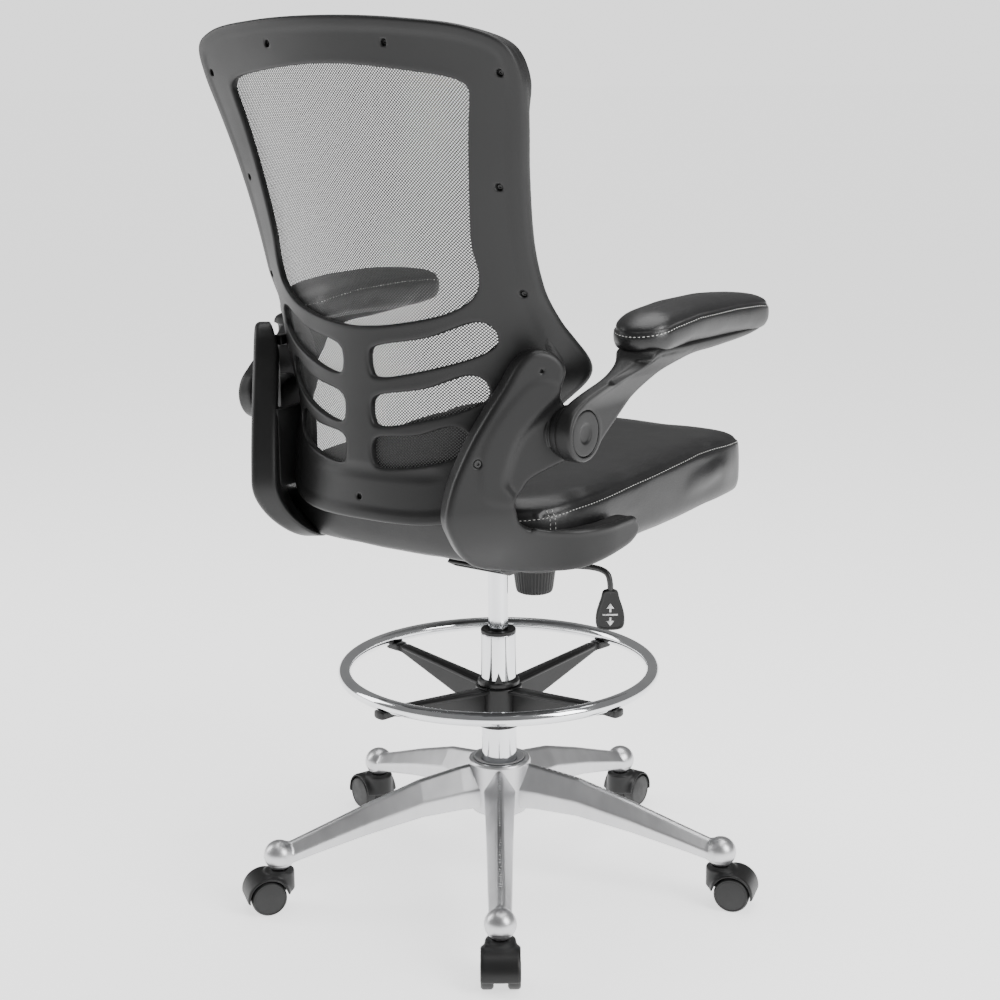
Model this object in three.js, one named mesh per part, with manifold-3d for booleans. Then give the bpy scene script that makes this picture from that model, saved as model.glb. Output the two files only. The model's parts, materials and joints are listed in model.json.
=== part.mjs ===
// Drafting chair with a mesh back, flip-up arms, a foot ring and a five-star base.
// Millimetres, +Z up. The origin is on the floor under the middle of the chair's
// footprint. The sitter faces -Y, and the sitter's right hand is at -X.

import * as THREE from 'three';
import { mergeVertices } from 'three/addons/utils/BufferGeometryUtils.js';
import { TessellateModifier } from 'three/addons/modifiers/TessellateModifier.js';
import Module from 'manifold-3d';

const wasm = await Module();
wasm.setup();

// ---------------------------------------------------------------- driving dimensions
const GAP = 0.3;                  // working gap between pieces that touch
const TAU = Math.PI * 2;
const COLUMN_Y = 13;              // the gas column stands behind the middle of the footprint

// five-star base and casters
const STAR_ARMS = 5;
const STAR_RADIUS = 326;          // caster stems from the column axis
const BALL_RADIUS = 21.5;
const BALL_Z = 79;
const HUB = { radius: 45, foot: 40, bottom: 108, top: 185 };
const WHEEL_RADIUS = 25;
const WHEEL_WIDTH = 17.5;
const WHEEL_SIDES = 16;
const CASTER_TRAIL = 20;          // wheel axle behind the caster stem
const CASTER_WEB = 17;            // housing web between the two wheels
const HOOD_RADIUS = 30.5;
const STEM_RADIUS = 5.5;

// gas column
const COLUMN_RADIUS = 25;
const COLUMN_BORE = 22.5;
const COLUMN_BOTTOM = 98;
const COLUMN_TOP = 378;
const LIFT_RADIUS = 14;
const LIFT_BORE = 12.6;
const LIFT_BOTTOM = 190;
const LIFT_TOP = 500;
const ROD_RADIUS = 5;

// foot ring
const RING_RADIUS = 219;
const RING_TUBE = 9.5;
const RING_Z = 319;
const SPIDER_ARMS = 4;
const SPIDER_TURN = THREE.MathUtils.degToRad(81);

// tilt mechanism
const TILT_PIVOT = { y: -34, z: 507 };
const HOUSING = { halfWidth: 46, front: -122, back: 56, bottom: 470, wall: 3 };
const KNOB_Y = -90;
const LEVER_Y = 50;

// seat
const SEAT = { halfWidth: 251, front: -295, back: 246, bottom: 547, seam: 620, crown: 636, slope: 0.03 };
const PAN_THICKNESS = 9;

// back: upright to the waist, leaning back and flattening out above it
const BACK = { waist: 740, bottom: 600, top: 1217, y: 298, lean: 55, bow: 2.65e-3, lowBow: 1.9e-3 };
const SHELL_THICKNESS = 9;
const RIM = { width: 7, depth: 10, top: 12, hips: 44 };
const MESH_THICKNESS = 1.6;
const SHEET_GAP = 4.2;            // between the back's bent layers
const RETAINER_THICKNESS = 5;

// brackets between seat and back, toed in towards the rear
const TOE_IN = THREE.MathUtils.degToRad(37);
const BRACKET = { x: 241, y: 190, thickness: 35, web: 12, bend: 70 };

// flip-up arms
const PIVOT = { y: 190, z: 720 };
const ARM_INNER = 250;
const ARM_THICKNESS = 23;
const PAD = { x: 281, rear: 109, front: -215, halfWidth: 43, bottom: 817, seam: 838, crown: 862 };

// ---------------------------------------------------------------- materials
const paint = (color, roughness, metalness = 0) =>
  new THREE.MeshStandardMaterial({ color, roughness, metalness });
const castAluminium = paint(0xb9babb, 0.38, 1);
const chrome = paint(0xd8dadc, 0.08, 1);
const steel = paint(0x8f9296, 0.35, 1);
const blackSteel = paint(0x1a1a1b, 0.45, 0.4);
const blackPlastic = paint(0x1d1d1e, 0.55);
const shellPlastic = paint(0x343536, 0.6);
const greyPlastic = paint(0x8a8b8c, 0.5);
const vinyl = paint(0x232324, 0.42);
const meshFabric = paint(0x111112, 0.9);
const tread = paint(0x151515, 0.7);

// ---------------------------------------------------------------- solids
const chair = new THREE.Group();

function add(parent, name, geometry, material) {
  const mesh = new THREE.Mesh(geometry, material);
  mesh.name = name;
  parent.add(mesh);
  return mesh;
}

function weld(geometry) {
  const plain = geometry.clone();
  plain.deleteAttribute('normal');
  plain.deleteAttribute('uv');
  return mergeVertices(plain, 1e-3);
}

function solid(geometry) {
  const welded = weld(geometry);
  const vertProperties = new Float32Array(welded.attributes.position.array);
  const triVerts = new Uint32Array(welded.index.array);
  return new wasm.Manifold(new wasm.Mesh({ numProp: 3, vertProperties, triVerts }));
}

function geometryOf(manifold) {
  const { vertProperties, triVerts } = manifold.getMesh();
  const geometry = new THREE.BufferGeometry();
  geometry.setAttribute('position', new THREE.BufferAttribute(vertProperties, 3));
  geometry.setIndex(new THREE.BufferAttribute(triVerts, 1));
  geometry.computeVertexNormals();
  return geometry;
}

function join(...geometries) {
  return geometryOf(geometries.map(solid).reduce((whole, piece) => whole.add(piece)));
}

function cut(geometry, ...tools) {
  return geometryOf(tools.map(solid).reduce((whole, tool) => whole.subtract(tool), solid(geometry)));
}

// a ring or a turned piece about +Z, from [radius, z] points
function turned(profile, sides = 24, turn = 0) {
  const points = profile.map(([radius, z]) => new THREE.Vector2(radius, z));
  return weld(new THREE.LatheGeometry(points, sides, turn)).rotateX(Math.PI / 2);
}

function sleeve(inner, outer, bottom, top, sides = 24) {
  return turned([[inner, bottom], [outer, bottom], [outer, top], [inner, top], [inner, bottom]], sides);
}

function pin(radius, bottom, top, sides = 16) {
  return turned([[0, bottom], [radius, bottom], [radius, top], [0, top]], sides);
}

function pinAlongX(radius, left, right, y, z, sides = 16) {
  return pin(radius, left, right, sides).rotateY(Math.PI / 2).translate(0, y, z);
}

function block(x0, x1, y0, y1, z0, z1) {
  const geometry = new THREE.BoxGeometry(x1 - x0, y1 - y0, z1 - z0);
  return geometry.translate((x0 + x1) / 2, (y0 + y1) / 2, (z0 + z1) / 2);
}

function outline(points) {
  return new THREE.Shape(points.map(([u, v]) => new THREE.Vector2(u, v)));
}

// a closed smooth outline through a few points, as a THREE.Shape
function smoothOutline(points, steps) {
  const curve = new THREE.CatmullRomCurve3(
    points.map(([u, v]) => new THREE.Vector3(u, v, 0)), true, 'centripetal');
  const ring = curve.getPoints(steps).slice(0, -1);
  return new THREE.Shape(ring.map((point) => new THREE.Vector2(point.x, point.y)));
}

function prism(shape, depth, curveSegments = 5) {
  return new THREE.ExtrudeGeometry(shape, { depth, bevelEnabled: false, curveSegments });
}

// a prism cut into pieces no longer than stepU and stepV, then bent: (u, v, depth) goes
// through place()
function bentPrism(shape, depth, stepU, stepV, place) {
  const flat = prism(shape, depth).scale(1 / stepU, 1 / stepV, 1 / Math.max(stepU, stepV));
  const geometry = weld(new TessellateModifier(1, 9).modify(flat));
  geometry.scale(stepU, stepV, Math.max(stepU, stepV));
  const at = geometry.attributes.position;
  for (let i = 0; i < at.count; i += 1) {
    const point = place(at.getX(i), at.getY(i), at.getZ(i));
    at.setXYZ(i, point.x, point.y, point.z);
  }
  return geometry;
}

function rodAlong(points, radius, steps, sides = 8) {
  const path = new THREE.CatmullRomCurve3(points.map((p) => new THREE.Vector3(...p)), false, 'centripetal');
  const section = new THREE.Shape();
  section.absarc(0, 0, radius, 0, TAU);
  // a full arc takes two points for each curve segment
  return weld(new THREE.ExtrudeGeometry(section, { steps, curveSegments: sides / 2, extrudePath: path }));
}

// a closed skin through rings of points, with flat-fan ends
function loft(rings) {
  const size = rings[0].length;
  const position = rings.flat().flatMap((p) => [p.x, p.y, p.z]);
  const index = [];
  for (let r = 0; r + 1 < rings.length; r += 1) {
    for (let i = 0; i < size; i += 1) {
      const here = r * size + i;
      const next = r * size + (i + 1) % size;
      index.push(here, next, next + size, here, next + size, here + size);
    }
  }
  const ends = [rings[0], rings[rings.length - 1]];
  ends.forEach((ring, end) => {
    const middle = ring.reduce((sum, p) => sum.add(p), new THREE.Vector3()).divideScalar(size);
    const tip = position.length / 3;
    position.push(middle.x, middle.y, middle.z);
    const first = end * (rings.length - 1) * size;
    for (let i = 0; i < size; i += 1) {
      const here = first + i;
      const next = first + (i + 1) % size;
      index.push(tip, ...(end ? [here, next] : [next, here]));
    }
  });
  const geometry = new THREE.BufferGeometry();
  geometry.setAttribute('position', new THREE.Float32BufferAttribute(position, 3));
  geometry.setIndex(index);
  return geometry;
}

function mirrored(geometry) {
  const copy = weld(geometry).scale(-1, 1, 1);
  const index = copy.index.array;
  for (let i = 0; i < index.length; i += 3) [index[i], index[i + 1]] = [index[i + 1], index[i]];
  return copy;
}

// ---------------------------------------------------------------- five-star base
const starAngle = (i) => -Math.PI / 2 + i * TAU / STAR_ARMS;

// arm sections: distance from the column, half width, bottom and top
const ARM_STATIONS = [
  [30, 23, 116, 181],
  [60, 22, 117, 177],
  [120, 20, 113, 165],
  [200, 18, 97, 138],
  [270, 16.5, 80, 112],
  [322, 15.5, 66, 93],
];

function armRing([distance, half, bottom, top], inset) {
  const width = half - inset;
  const ridge = Math.max(5 - inset / 2, 2);
  const crease = bottom + (top - bottom) * 0.42;
  const floor = inset ? bottom - 10 : bottom;
  const section = [
    [-width * 0.78, floor], [width * 0.78, floor], [width, crease],
    [ridge, top - inset], [-ridge, top - inset], [-width, crease],
  ];
  return section.map(([y, z]) => new THREE.Vector3(distance, y, z));
}

function starArm() {
  const skin = loft(ARM_STATIONS.map((station) => armRing(station, 0)));
  const hollow = loft(ARM_STATIONS.slice(1, -1).map((station) => armRing(station, 4)));
  const ball = new THREE.SphereGeometry(BALL_RADIUS, 10, 6).rotateX(Math.PI / 2);
  return join(cut(skin, hollow), ball.translate(STAR_RADIUS, 0, BALL_Z));
}

function starBase() {
  const hub = turned([
    [0, HUB.bottom], [HUB.foot, HUB.bottom], [HUB.foot + 2, HUB.bottom + 25],
    [HUB.radius, HUB.top - 4], [HUB.radius - 1.5, HUB.top], [0, HUB.top],
  ], 20);
  const arms = Array.from({ length: STAR_ARMS }, (_, i) => starArm().rotateZ(starAngle(i)));
  const stems = Array.from({ length: STAR_ARMS }, (_, i) =>
    pin(STEM_RADIUS + GAP, BALL_Z - BALL_RADIUS - 5, BALL_Z + 12)
      .translate(STAR_RADIUS, 0, 0).rotateZ(starAngle(i)));
  const bore = pin(COLUMN_RADIUS + GAP, HUB.bottom - 5, HUB.top + 5, 24);
  const trimSeat = turned([[0, HUB.top - 6], [28, HUB.top - 6], [38, HUB.top + 1], [0, HUB.top + 1]], 24);
  return cut(join(hub, ...arms), bore, trimSeat, ...stems);
}

function hubTrimRing() {
  const inner = COLUMN_RADIUS + GAP;
  return turned([
    [inner, HUB.top - 5.6], [27.6, HUB.top - 5.6], [36.4, HUB.top + 0.6], [35, HUB.top + 1.6],
    [inner, HUB.top - 3.5], [inner, HUB.top - 5.6],
  ], 24);
}

// ---------------------------------------------------------------- casters
// local frame: the stem stands at x = 0, +X is the way the wheels trail, the axle lies along Y
function casterHousing() {
  const alongY = (geometry) => geometry.rotateX(-Math.PI / 2).translate(CASTER_TRAIL, 0, WHEEL_RADIUS);
  const width = CASTER_WEB + 2 * WHEEL_WIDTH + 2;
  const hood = alongY(pin(HOOD_RADIUS, -width / 2, width / 2, 18));
  const barrel = pin(21, WHEEL_RADIUS + 2, BALL_Z - BALL_RADIUS + 1, 20);
  const stem = pin(STEM_RADIUS, 50, BALL_Z + 10, 12);
  const body = join(hood, barrel, stem);
  const wheelRooms = [-1, 1].map((side) => alongY(
    pin(WHEEL_RADIUS + 2, 0, WHEEL_WIDTH + 6, 16)
      .translate(0, 0, side > 0 ? CASTER_WEB / 2 : -CASTER_WEB / 2 - WHEEL_WIDTH - 6)));
  const under = block(-40, 90, -40, 40, -30, 12);
  const front = block(-40, CASTER_TRAIL - WHEEL_RADIUS + 4, -40, 40, -30, 26);
  const axleHole = alongY(pin(4 + GAP, -40, 40, 12));
  return cut(body, ...wheelRooms, under, front, axleHole);
}

function casterWheel() {
  const vertexRadius = WHEEL_RADIUS / Math.cos(Math.PI / WHEEL_SIDES);
  const bore = 4 + GAP;
  return turned([
    [bore, 0], [vertexRadius - 3, 0], [vertexRadius, 2.5], [vertexRadius, WHEEL_WIDTH - 4],
    [vertexRadius - 4, WHEEL_WIDTH], [bore, WHEEL_WIDTH], [bore, 0],
  ], WHEEL_SIDES, Math.PI / WHEEL_SIDES);
}

function addCaster(i) {
  const caster = new THREE.Group();
  caster.position.set(STAR_RADIUS * Math.cos(starAngle(i)), STAR_RADIUS * Math.sin(starAngle(i)), 0);
  caster.rotation.z = starAngle(i);
  chair.add(caster);
  const name = `caster_${i + 1}`;
  add(caster, `${name}_housing`, casterHousing(), blackPlastic);
  const axleLength = CASTER_WEB + 2 * WHEEL_WIDTH - 2;
  const axle = add(caster, `${name}_axle`, pin(4, -axleLength / 2, axleLength / 2, 12), steel);
  axle.rotation.x = -Math.PI / 2;
  axle.position.set(CASTER_TRAIL, 0, WHEEL_RADIUS);
  for (const [label, side] of [['left', 1], ['right', -1]]) {
    const wheel = add(caster, `${name}_wheel_${label}`, casterWheel(), tread);
    wheel.rotation.x = -side * Math.PI / 2;
    wheel.position.set(CASTER_TRAIL, side * (CASTER_WEB / 2 + 0.6), WHEEL_RADIUS);
  }
}

// ---------------------------------------------------------------- gas column
function outerColumn() {
  const rod = ROD_RADIUS + 1;
  return turned([
    [rod, COLUMN_BOTTOM], [COLUMN_RADIUS - 1, COLUMN_BOTTOM], [COLUMN_RADIUS, COLUMN_BOTTOM + 1],
    [COLUMN_RADIUS, COLUMN_TOP - 1], [COLUMN_RADIUS - 1, COLUMN_TOP], [COLUMN_BORE, COLUMN_TOP],
    [COLUMN_BORE, COLUMN_BOTTOM + 4], [rod, COLUMN_BOTTOM + 4], [rod, COLUMN_BOTTOM],
  ], 24);
}

function guideBush() {
  return sleeve(LIFT_RADIUS + GAP, COLUMN_BORE - GAP, COLUMN_TOP - 92, COLUMN_TOP - 4, 24);
}

function thrustBearing() {
  return sleeve(ROD_RADIUS + 1, 17, COLUMN_BOTTOM + 4 + GAP, COLUMN_BOTTOM + 11);
}

function rodClip() {
  return sleeve(ROD_RADIUS + GAP - 1, 11, COLUMN_BOTTOM - 3, COLUMN_BOTTOM - GAP, 16);
}

// the rod hangs on a collar that rests on the thrust bearing
function pistonRod() {
  const bearingTop = COLUMN_BOTTOM + 11 + GAP;
  const groove = ROD_RADIUS - 1.3;
  const piston = LIFT_BORE - GAP;
  return turned([
    [0, COLUMN_BOTTOM - 6], [ROD_RADIUS, COLUMN_BOTTOM - 6], [ROD_RADIUS, COLUMN_BOTTOM - 3 - GAP],
    [groove, COLUMN_BOTTOM - 3 - GAP], [groove, COLUMN_BOTTOM], [ROD_RADIUS, COLUMN_BOTTOM],
    [ROD_RADIUS, bearingTop], [9, bearingTop], [9, bearingTop + 4], [ROD_RADIUS, bearingTop + 4],
    [ROD_RADIUS, 330], [piston, 330], [piston, 342], [0, 342],
  ], 16);
}

function liftTube() {
  const gland = ROD_RADIUS + GAP;
  const valve = 3 + GAP;
  return turned([
    [gland, LIFT_BOTTOM], [LIFT_RADIUS - 1, LIFT_BOTTOM], [LIFT_RADIUS, LIFT_BOTTOM + 2],
    [LIFT_RADIUS, LIFT_TOP - 4], [LIFT_RADIUS - 2, LIFT_TOP], [valve, LIFT_TOP],
    [valve, LIFT_TOP - 20], [LIFT_BORE, LIFT_TOP - 20], [LIFT_BORE, LIFT_BOTTOM + 18],
    [gland, LIFT_BOTTOM + 18], [gland, LIFT_BOTTOM],
  ], 20);
}

function releaseButton() {
  return turned([[0, 486], [3, 486], [3, LIFT_TOP + 5], [5, LIFT_TOP + 5], [5, LIFT_TOP + 9], [0, LIFT_TOP + 9]], 12);
}

// ---------------------------------------------------------------- foot ring
function footRing() {
  return new THREE.TorusGeometry(RING_RADIUS, RING_TUBE, 8, 36).translate(0, 0, RING_Z);
}

function spiderArm() {
  const side = outline([[28, 246], [42, 246], [RING_RADIUS - 6, 301], [RING_RADIUS + 12, 303],
    [RING_RADIUS + 12, 311], [RING_RADIUS - 16, 311], [28, 293]]);
  const blade = prism(side, 10).rotateX(Math.PI / 2).translate(0, 5, 0);
  const ledgeSide = outline([[28, 289], [RING_RADIUS - 30, 303.5], [RING_RADIUS - 30, 309], [28, 294.5]]);
  const ledge = prism(ledgeSide, 26).rotateX(Math.PI / 2).translate(0, 13, 0);
  return join(blade, ledge);
}

function footRingSpider() {
  const hub = pin(33, 236, 296, 24);
  const arms = Array.from({ length: SPIDER_ARMS }, (_, i) =>
    spiderArm().rotateZ(SPIDER_TURN + i * TAU / SPIDER_ARMS));
  const bore = pin(COLUMN_RADIUS + GAP, 230, 300, 24);
  const ringRoom = new THREE.TorusGeometry(RING_RADIUS, RING_TUBE + GAP, 8, 36).translate(0, 0, RING_Z);
  return cut(join(hub, ...arms), bore, ringRoom);
}

function ringLockCollar() {
  const body = turned([[0, 296.4], [30, 296.4], [30, 303], [28, 306], [0, 306]], 24);
  const pointer = prism(outline([[-5, 0], [5, 0], [0, 14]]), 3).rotateX(Math.PI / 2)
    .translate(0, -COLUMN_RADIUS - 0.5, 304).rotateZ(Math.PI + Math.PI / 5);
  return cut(join(body, pointer), pin(COLUMN_RADIUS + GAP, 290, 325, 24));
}

// ---------------------------------------------------------------- tilt mechanism
function tiltHousing() {
  const { halfWidth, front, back, bottom, wall } = HOUSING;
  const side = outline([[front, bottom + 14], [front + 22, bottom], [back - 20, bottom], [back, bottom + 10],
    [back, 482], [0, TILT_PIVOT.z + 8], [-60, TILT_PIVOT.z + 8], [front, 490]]);
  const acrossX = (depth) => prism(side, depth).rotateX(Math.PI / 2).rotateZ(Math.PI / 2);
  const shell = acrossX(2 * halfWidth).translate(-halfWidth, 0, 0);
  const room = block(-halfWidth + wall, halfWidth - wall, front + wall, back - wall, bottom + wall, 600);
  const socket = pin(22, bottom, LIFT_TOP - 8, 24);
  const tube = pin(LIFT_RADIUS + GAP, bottom - 5, 600, 20);
  const pivotHole = pinAlongX(6 + GAP, -80, 80, TILT_PIVOT.y, TILT_PIVOT.z);
  const boltHole = pin(6, bottom - 5, bottom + 10).translate(0, KNOB_Y, 0);
  const leverHole = pinAlongX(8 + GAP, -80, 0, LEVER_Y - 6, 486);
  return cut(join(cut(shell, room), socket), tube, pivotHole, boltHole, leverHole);
}

function tiltPivotPin() {
  return pinAlongX(6, -62, 62, TILT_PIVOT.y, TILT_PIVOT.z);
}

function tensionSpring() {
  const coil = { radius: 14, wire: 2, bottom: 421, top: 459, turns: 4 };
  const steps = coil.turns * 9;
  const points = Array.from({ length: steps + 1 }, (_, i) => {
    const turn = TAU * coil.turns * i / steps;
    const z = coil.bottom + (coil.top - coil.bottom) * i / steps;
    return [coil.radius * Math.cos(turn), KNOB_Y + coil.radius * Math.sin(turn), z];
  });
  return rodAlong(points, coil.wire, steps, 6);
}

function tensionWasher() {
  return sleeve(5 + GAP, 19, 416, 418.5, 20).translate(0, KNOB_Y, 0);
}

function tensionKnob() {
  const cup = turned([
    [5 + GAP, 410], [25, 410], [27, 413], [32, 452], [29, 455], [22, 455],
    [20.5, 415.6], [5 + GAP, 415.6], [5 + GAP, 410],
  ], 24);
  return cup.translate(0, KNOB_Y, 0);
}

function tensionBolt() {
  return turned([[0, 411], [5, 411], [5, 492], [9, 492], [9, 498], [0, 498]], 16).translate(0, KNOB_Y, 0);
}

const BUSH_CENTRE = { y: LEVER_Y - 6, z: 486 };

function leverBush() {
  return sleeve(4 + 3 * GAP, 8, -54, -40, 16).rotateY(Math.PI / 2).translate(0, BUSH_CENTRE.y, BUSH_CENTRE.z);
}

function leverRod() {
  const { y, z } = BUSH_CENTRE;
  return rodAlong([[-20, y, z], [-55, y, z], [-82, y, z], [-112, y + 2, z + 5], [-150, y + 6, 503],
    [-205, y + 9, 508], [-220, y + 10, 501], [-223, y + 10, 478]], 4, 24, 8);
}

function leverPaddle() {
  const face = smoothOutline([[-9, 55], [9, 55], [19, 18], [14, 1], [-14, 1], [-19, 18]], 24);
  const blade = prism(face, 9).rotateX(Math.PI / 2).rotateZ(Math.PI * 0.2).translate(-226, 60, 427);
  return cut(blade, rodAlong([[-220, 53, 520], [-223, 54, 478], [-223, 54, 470]], 4 + GAP, 4, 8));
}

// ---------------------------------------------------------------- seat
// plan outline of the seat, inset towards its middle: rounded, with chamfered rear corners
function seatRing(inset, z) {
  const { halfWidth, front, back } = SEAT;
  const quarter = [
    [0, back], [halfWidth * 0.45, back - 4], [halfWidth * 0.76, back - 28], [halfWidth * 0.9, back - 66],
    [halfWidth * 0.975, back - 120], [halfWidth, 20], [halfWidth, -150], [halfWidth * 0.99, front + 60],
    [halfWidth * 0.945, front + 15], [halfWidth * 0.78, front + 3], [halfWidth * 0.4, front],
  ];
  const left = quarter.slice(1).map(([x, y]) => [-x, y]).reverse();
  const points = [...quarter, [0, front], ...left];
  const curve = new THREE.CatmullRomCurve3(points.map(([x, y]) => new THREE.Vector3(x, y, 0)), true, 'centripetal');
  const middle = (front + back) / 2;
  return curve.getPoints(36).slice(0, -1).reverse().map((p) => {
    const shrinkX = 1 - inset / halfWidth;
    const shrinkY = 1 - inset / ((back - front) / 2);
    const y = middle + (p.y - middle) * shrinkY;
    return new THREE.Vector3(p.x * shrinkX, y, z - SEAT.slope * y);
  });
}

function seatCushion() {
  const { bottom, seam, crown } = SEAT;
  const rings = [[12, bottom + GAP], [1, bottom + 8], [0, seam - 22], [1, seam], [12, seam + 10],
    [36, seam + 15], [80, crown - 3], [140, crown - 1], [215, crown]];
  return loft(rings.map(([inset, z]) => seatRing(inset, z)));
}

function seatPan() {
  return loft([[44, SEAT.bottom - PAN_THICKNESS], [30, SEAT.bottom - 4], [30, SEAT.bottom]]
    .map(([inset, z]) => seatRing(inset, z)));
}

function seatPlate() {
  const top = SEAT.bottom - PAN_THICKNESS - 5;
  const deck = block(-86, 86, -118, 112, top - 4, top);
  const rails = [-1, 1].map((side) => block(side > 0 ? 52 : -56, side > 0 ? 56 : -52, -84, 16, TILT_PIVOT.z - 14, top - 2));
  const risers = [-1, 1].map((side) => block(side > 0 ? 56 : -86, side > 0 ? 86 : -56, -84, 16, top - 8, top - 2));
  const pivotHole = pinAlongX(6 + GAP, -100, 100, TILT_PIVOT.y, TILT_PIVOT.z);
  return cut(join(deck, ...rails, ...risers), pivotHole);
}

// ---------------------------------------------------------------- back
function rearFace(x, z) {
  const { waist, bottom, top, y, lean, bow, lowBow } = BACK;
  const above = Math.max(0, (z - waist) / (top - waist));
  const below = Math.max(0, (waist - z) / (waist - bottom));
  const spine = y + lean * above ** 1.6;
  const hollow = bow * (1 - 0.8 * above) - (bow - lowBow) * below ** 2;
  return spine - hollow * x * x;
}

// (x, z, depth) to a point in front of the back's rear face
const onBack = (offset) => (x, z, depth) => new THREE.Vector3(x, rearFace(x, z) - offset - depth, z);

function bothSides(half) {
  return [...half, ...half.filter(([x]) => x !== 0).map(([x, z]) => [-x, z]).reverse()];
}

const FRAME_OUTLINE = bothSides([[0, 600], [118, 604], [150, 622], [162, 690], [204, 744], [232, 784], [223, 850],
  [217, 940], [226, 1030], [239, 1100], [246, 1146], [238, 1182], [200, 1201], [110, 1213], [0, 1217]]);
const WINDOW_OUTLINE = bothSides([[0, 845], [70, 852], [130, 868], [156, 888], [163, 912], [160, 950], [167, 1020],
  [178, 1090], [184, 1122], [172, 1138], [110, 1155], [0, 1164]]);

// slots on one side of the spine: inner end, outer end, height at each end
const SLOTS = [[22, 174, 802, 836], [22, 160, 740, 769], [22, 139, 687, 704]];
const SLOT_HALF_HEIGHT = 19;

function slotOutline([inner, outer, zInner, zOuter], side, half) {
  const middle = (inner + outer) / 2;
  const zMiddle = (zInner + zOuter) / 2 - 3;
  const ring = [[inner, zInner - half * 0.5], [middle, zMiddle - half], [outer - 8, zOuter - half * 0.8],
    [outer, zOuter], [outer - 12, zOuter + half * 0.8], [middle, zMiddle + half],
    [inner + 4, zInner + half * 0.9], [inner, zInner + half * 0.3]];
  return ring.map(([x, z]) => [side * x, z]);
}

// the shell's side walls run forward, furthest at the hips
function rimDepth(z) {
  const { smoothstep } = THREE.MathUtils;
  const hips = smoothstep(z, 680, 752) * (1 - smoothstep(z, 778, 885));
  return RIM.depth + RIM.hips * hips + RIM.top * smoothstep(z, 1090, 1160);
}

function backFrame() {
  const shape = smoothOutline(FRAME_OUTLINE, 48);
  shape.holes.push(smoothOutline(WINDOW_OUTLINE, 26));
  for (const side of [-1, 1]) {
    for (const slot of SLOTS) shape.holes.push(smoothOutline(slotOutline(slot, side, SLOT_HALF_HEIGHT), 10));
  }
  const plate = bentPrism(shape, SHELL_THICKNESS, 48, 120, onBack(0));
  const edge = smoothOutline(insetOutline(FRAME_OUTLINE, 1), 48);
  edge.holes.push(smoothOutline(insetOutline(FRAME_OUTLINE, RIM.width), 48));
  const rim = bentPrism(edge, 1, 70, 120, (x, z, depth) => onBack(4)(x, z, depth * rimDepth(z)));
  return join(plate, rim);
}

function insetOutline(points, inset) {
  const middle = 910;
  return points.map(([x, z]) => [x - Math.sign(x) * inset, z + (z > middle ? -inset : inset)]);
}

function backMesh() {
  const shape = smoothOutline(insetOutline(FRAME_OUTLINE, 18), 30);
  return bentPrism(shape, MESH_THICKNESS, 60, 130, onBack(SHELL_THICKNESS + SHEET_GAP));
}

function meshRetainer() {
  const shape = smoothOutline(insetOutline(FRAME_OUTLINE, 13), 36);
  shape.holes.push(smoothOutline(insetOutline(FRAME_OUTLINE, 28), 36));
  const offset = SHELL_THICKNESS + MESH_THICKNESS + 2 * SHEET_GAP;
  return bentPrism(shape, RETAINER_THICKNESS, 50, 120, onBack(offset));
}

// ---------------------------------------------------------------- brackets
// distances run along the bracket's plan line: 0 at the arm pivot, positive towards the rear,
// where the line is toed in; ahead of the pivot it bends round to run beside the seat
function planLine(run) {
  const bend = BRACKET.bend;
  const turn = run >= 0 ? TOE_IN : TOE_IN * Math.max(0, 1 + run / bend);
  const direction = new THREE.Vector2(-Math.sin(turn), Math.cos(turn));
  const point = new THREE.Vector2(BRACKET.x, BRACKET.y);
  if (run >= 0) return { point: point.addScaledVector(direction, run), direction };
  const steps = 12;
  const step = run / steps;
  for (let i = 0; i < steps; i += 1) {
    const at = TOE_IN * Math.max(0, 1 + (i + 0.5) * step / bend);
    point.add(new THREE.Vector2(-Math.sin(at), Math.cos(at)).multiplyScalar(step));
  }
  return { point, direction };
}

// the lowest rear corner curls in under the seat
function onBracket(run, z, depth) {
  const { point, direction } = planLine(run);
  const curl = THREE.MathUtils.smoothstep(run, 20, 130) * Math.max(0, (645 - z) / 75) ** 1.5;
  return new THREE.Vector3(
    point.x + direction.y * depth - 24 * curl, point.y - direction.x * depth - 34 * curl, z);
}

// the bracket's C-shaped band, from its top end down and forward to the tip of its foot, as pairs
// of points on its outer and inner edges
const BRACKET_BAND = [
  [[44, 824], [20, 820]], [[60, 810], [8, 800]], [[78, 782], [18, 772]], [[97, 754], [40, 750]],
  [[118, 721], [64, 720]], [[135, 688], [80, 684]], [[146, 655], [86, 660]], [[150, 622], [76, 642]],
  [[147, 590], [68, 628]], [[136, 564], [60, 614]], [[112, 552], [46, 606]], [[60, 549], [20, 601]],
  [[0, 552], [-10, 597]], [[-60, 557], [-60, 594]], [[-108, 565], [-104, 594]], [[-122, 574], [-118, 588]],
];
const WEB_OUTLINE = [[-6, 690], [22, 676], [48, 663], [64, 645], [100, 650], [104, 690], [92, 722], [70, 752],
  [40, 778], [20, 776], [0, 750], [-10, 720]];

function bracketBand(place) {
  const edges = [0, 1].map((edge) => new THREE.CatmullRomCurve3(
    BRACKET_BAND.map((pair) => new THREE.Vector3(...pair[edge], 0)), false, 'centripetal').getPoints(30));
  return loft(edges[0].map((outer, i) => {
    const inner = edges[1][i];
    return [[outer, BRACKET.thickness], [inner, BRACKET.thickness], [inner, 0], [outer, 0]]
      .map(([point, depth]) => place(point.x, point.y, depth));
  }));
}

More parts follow.
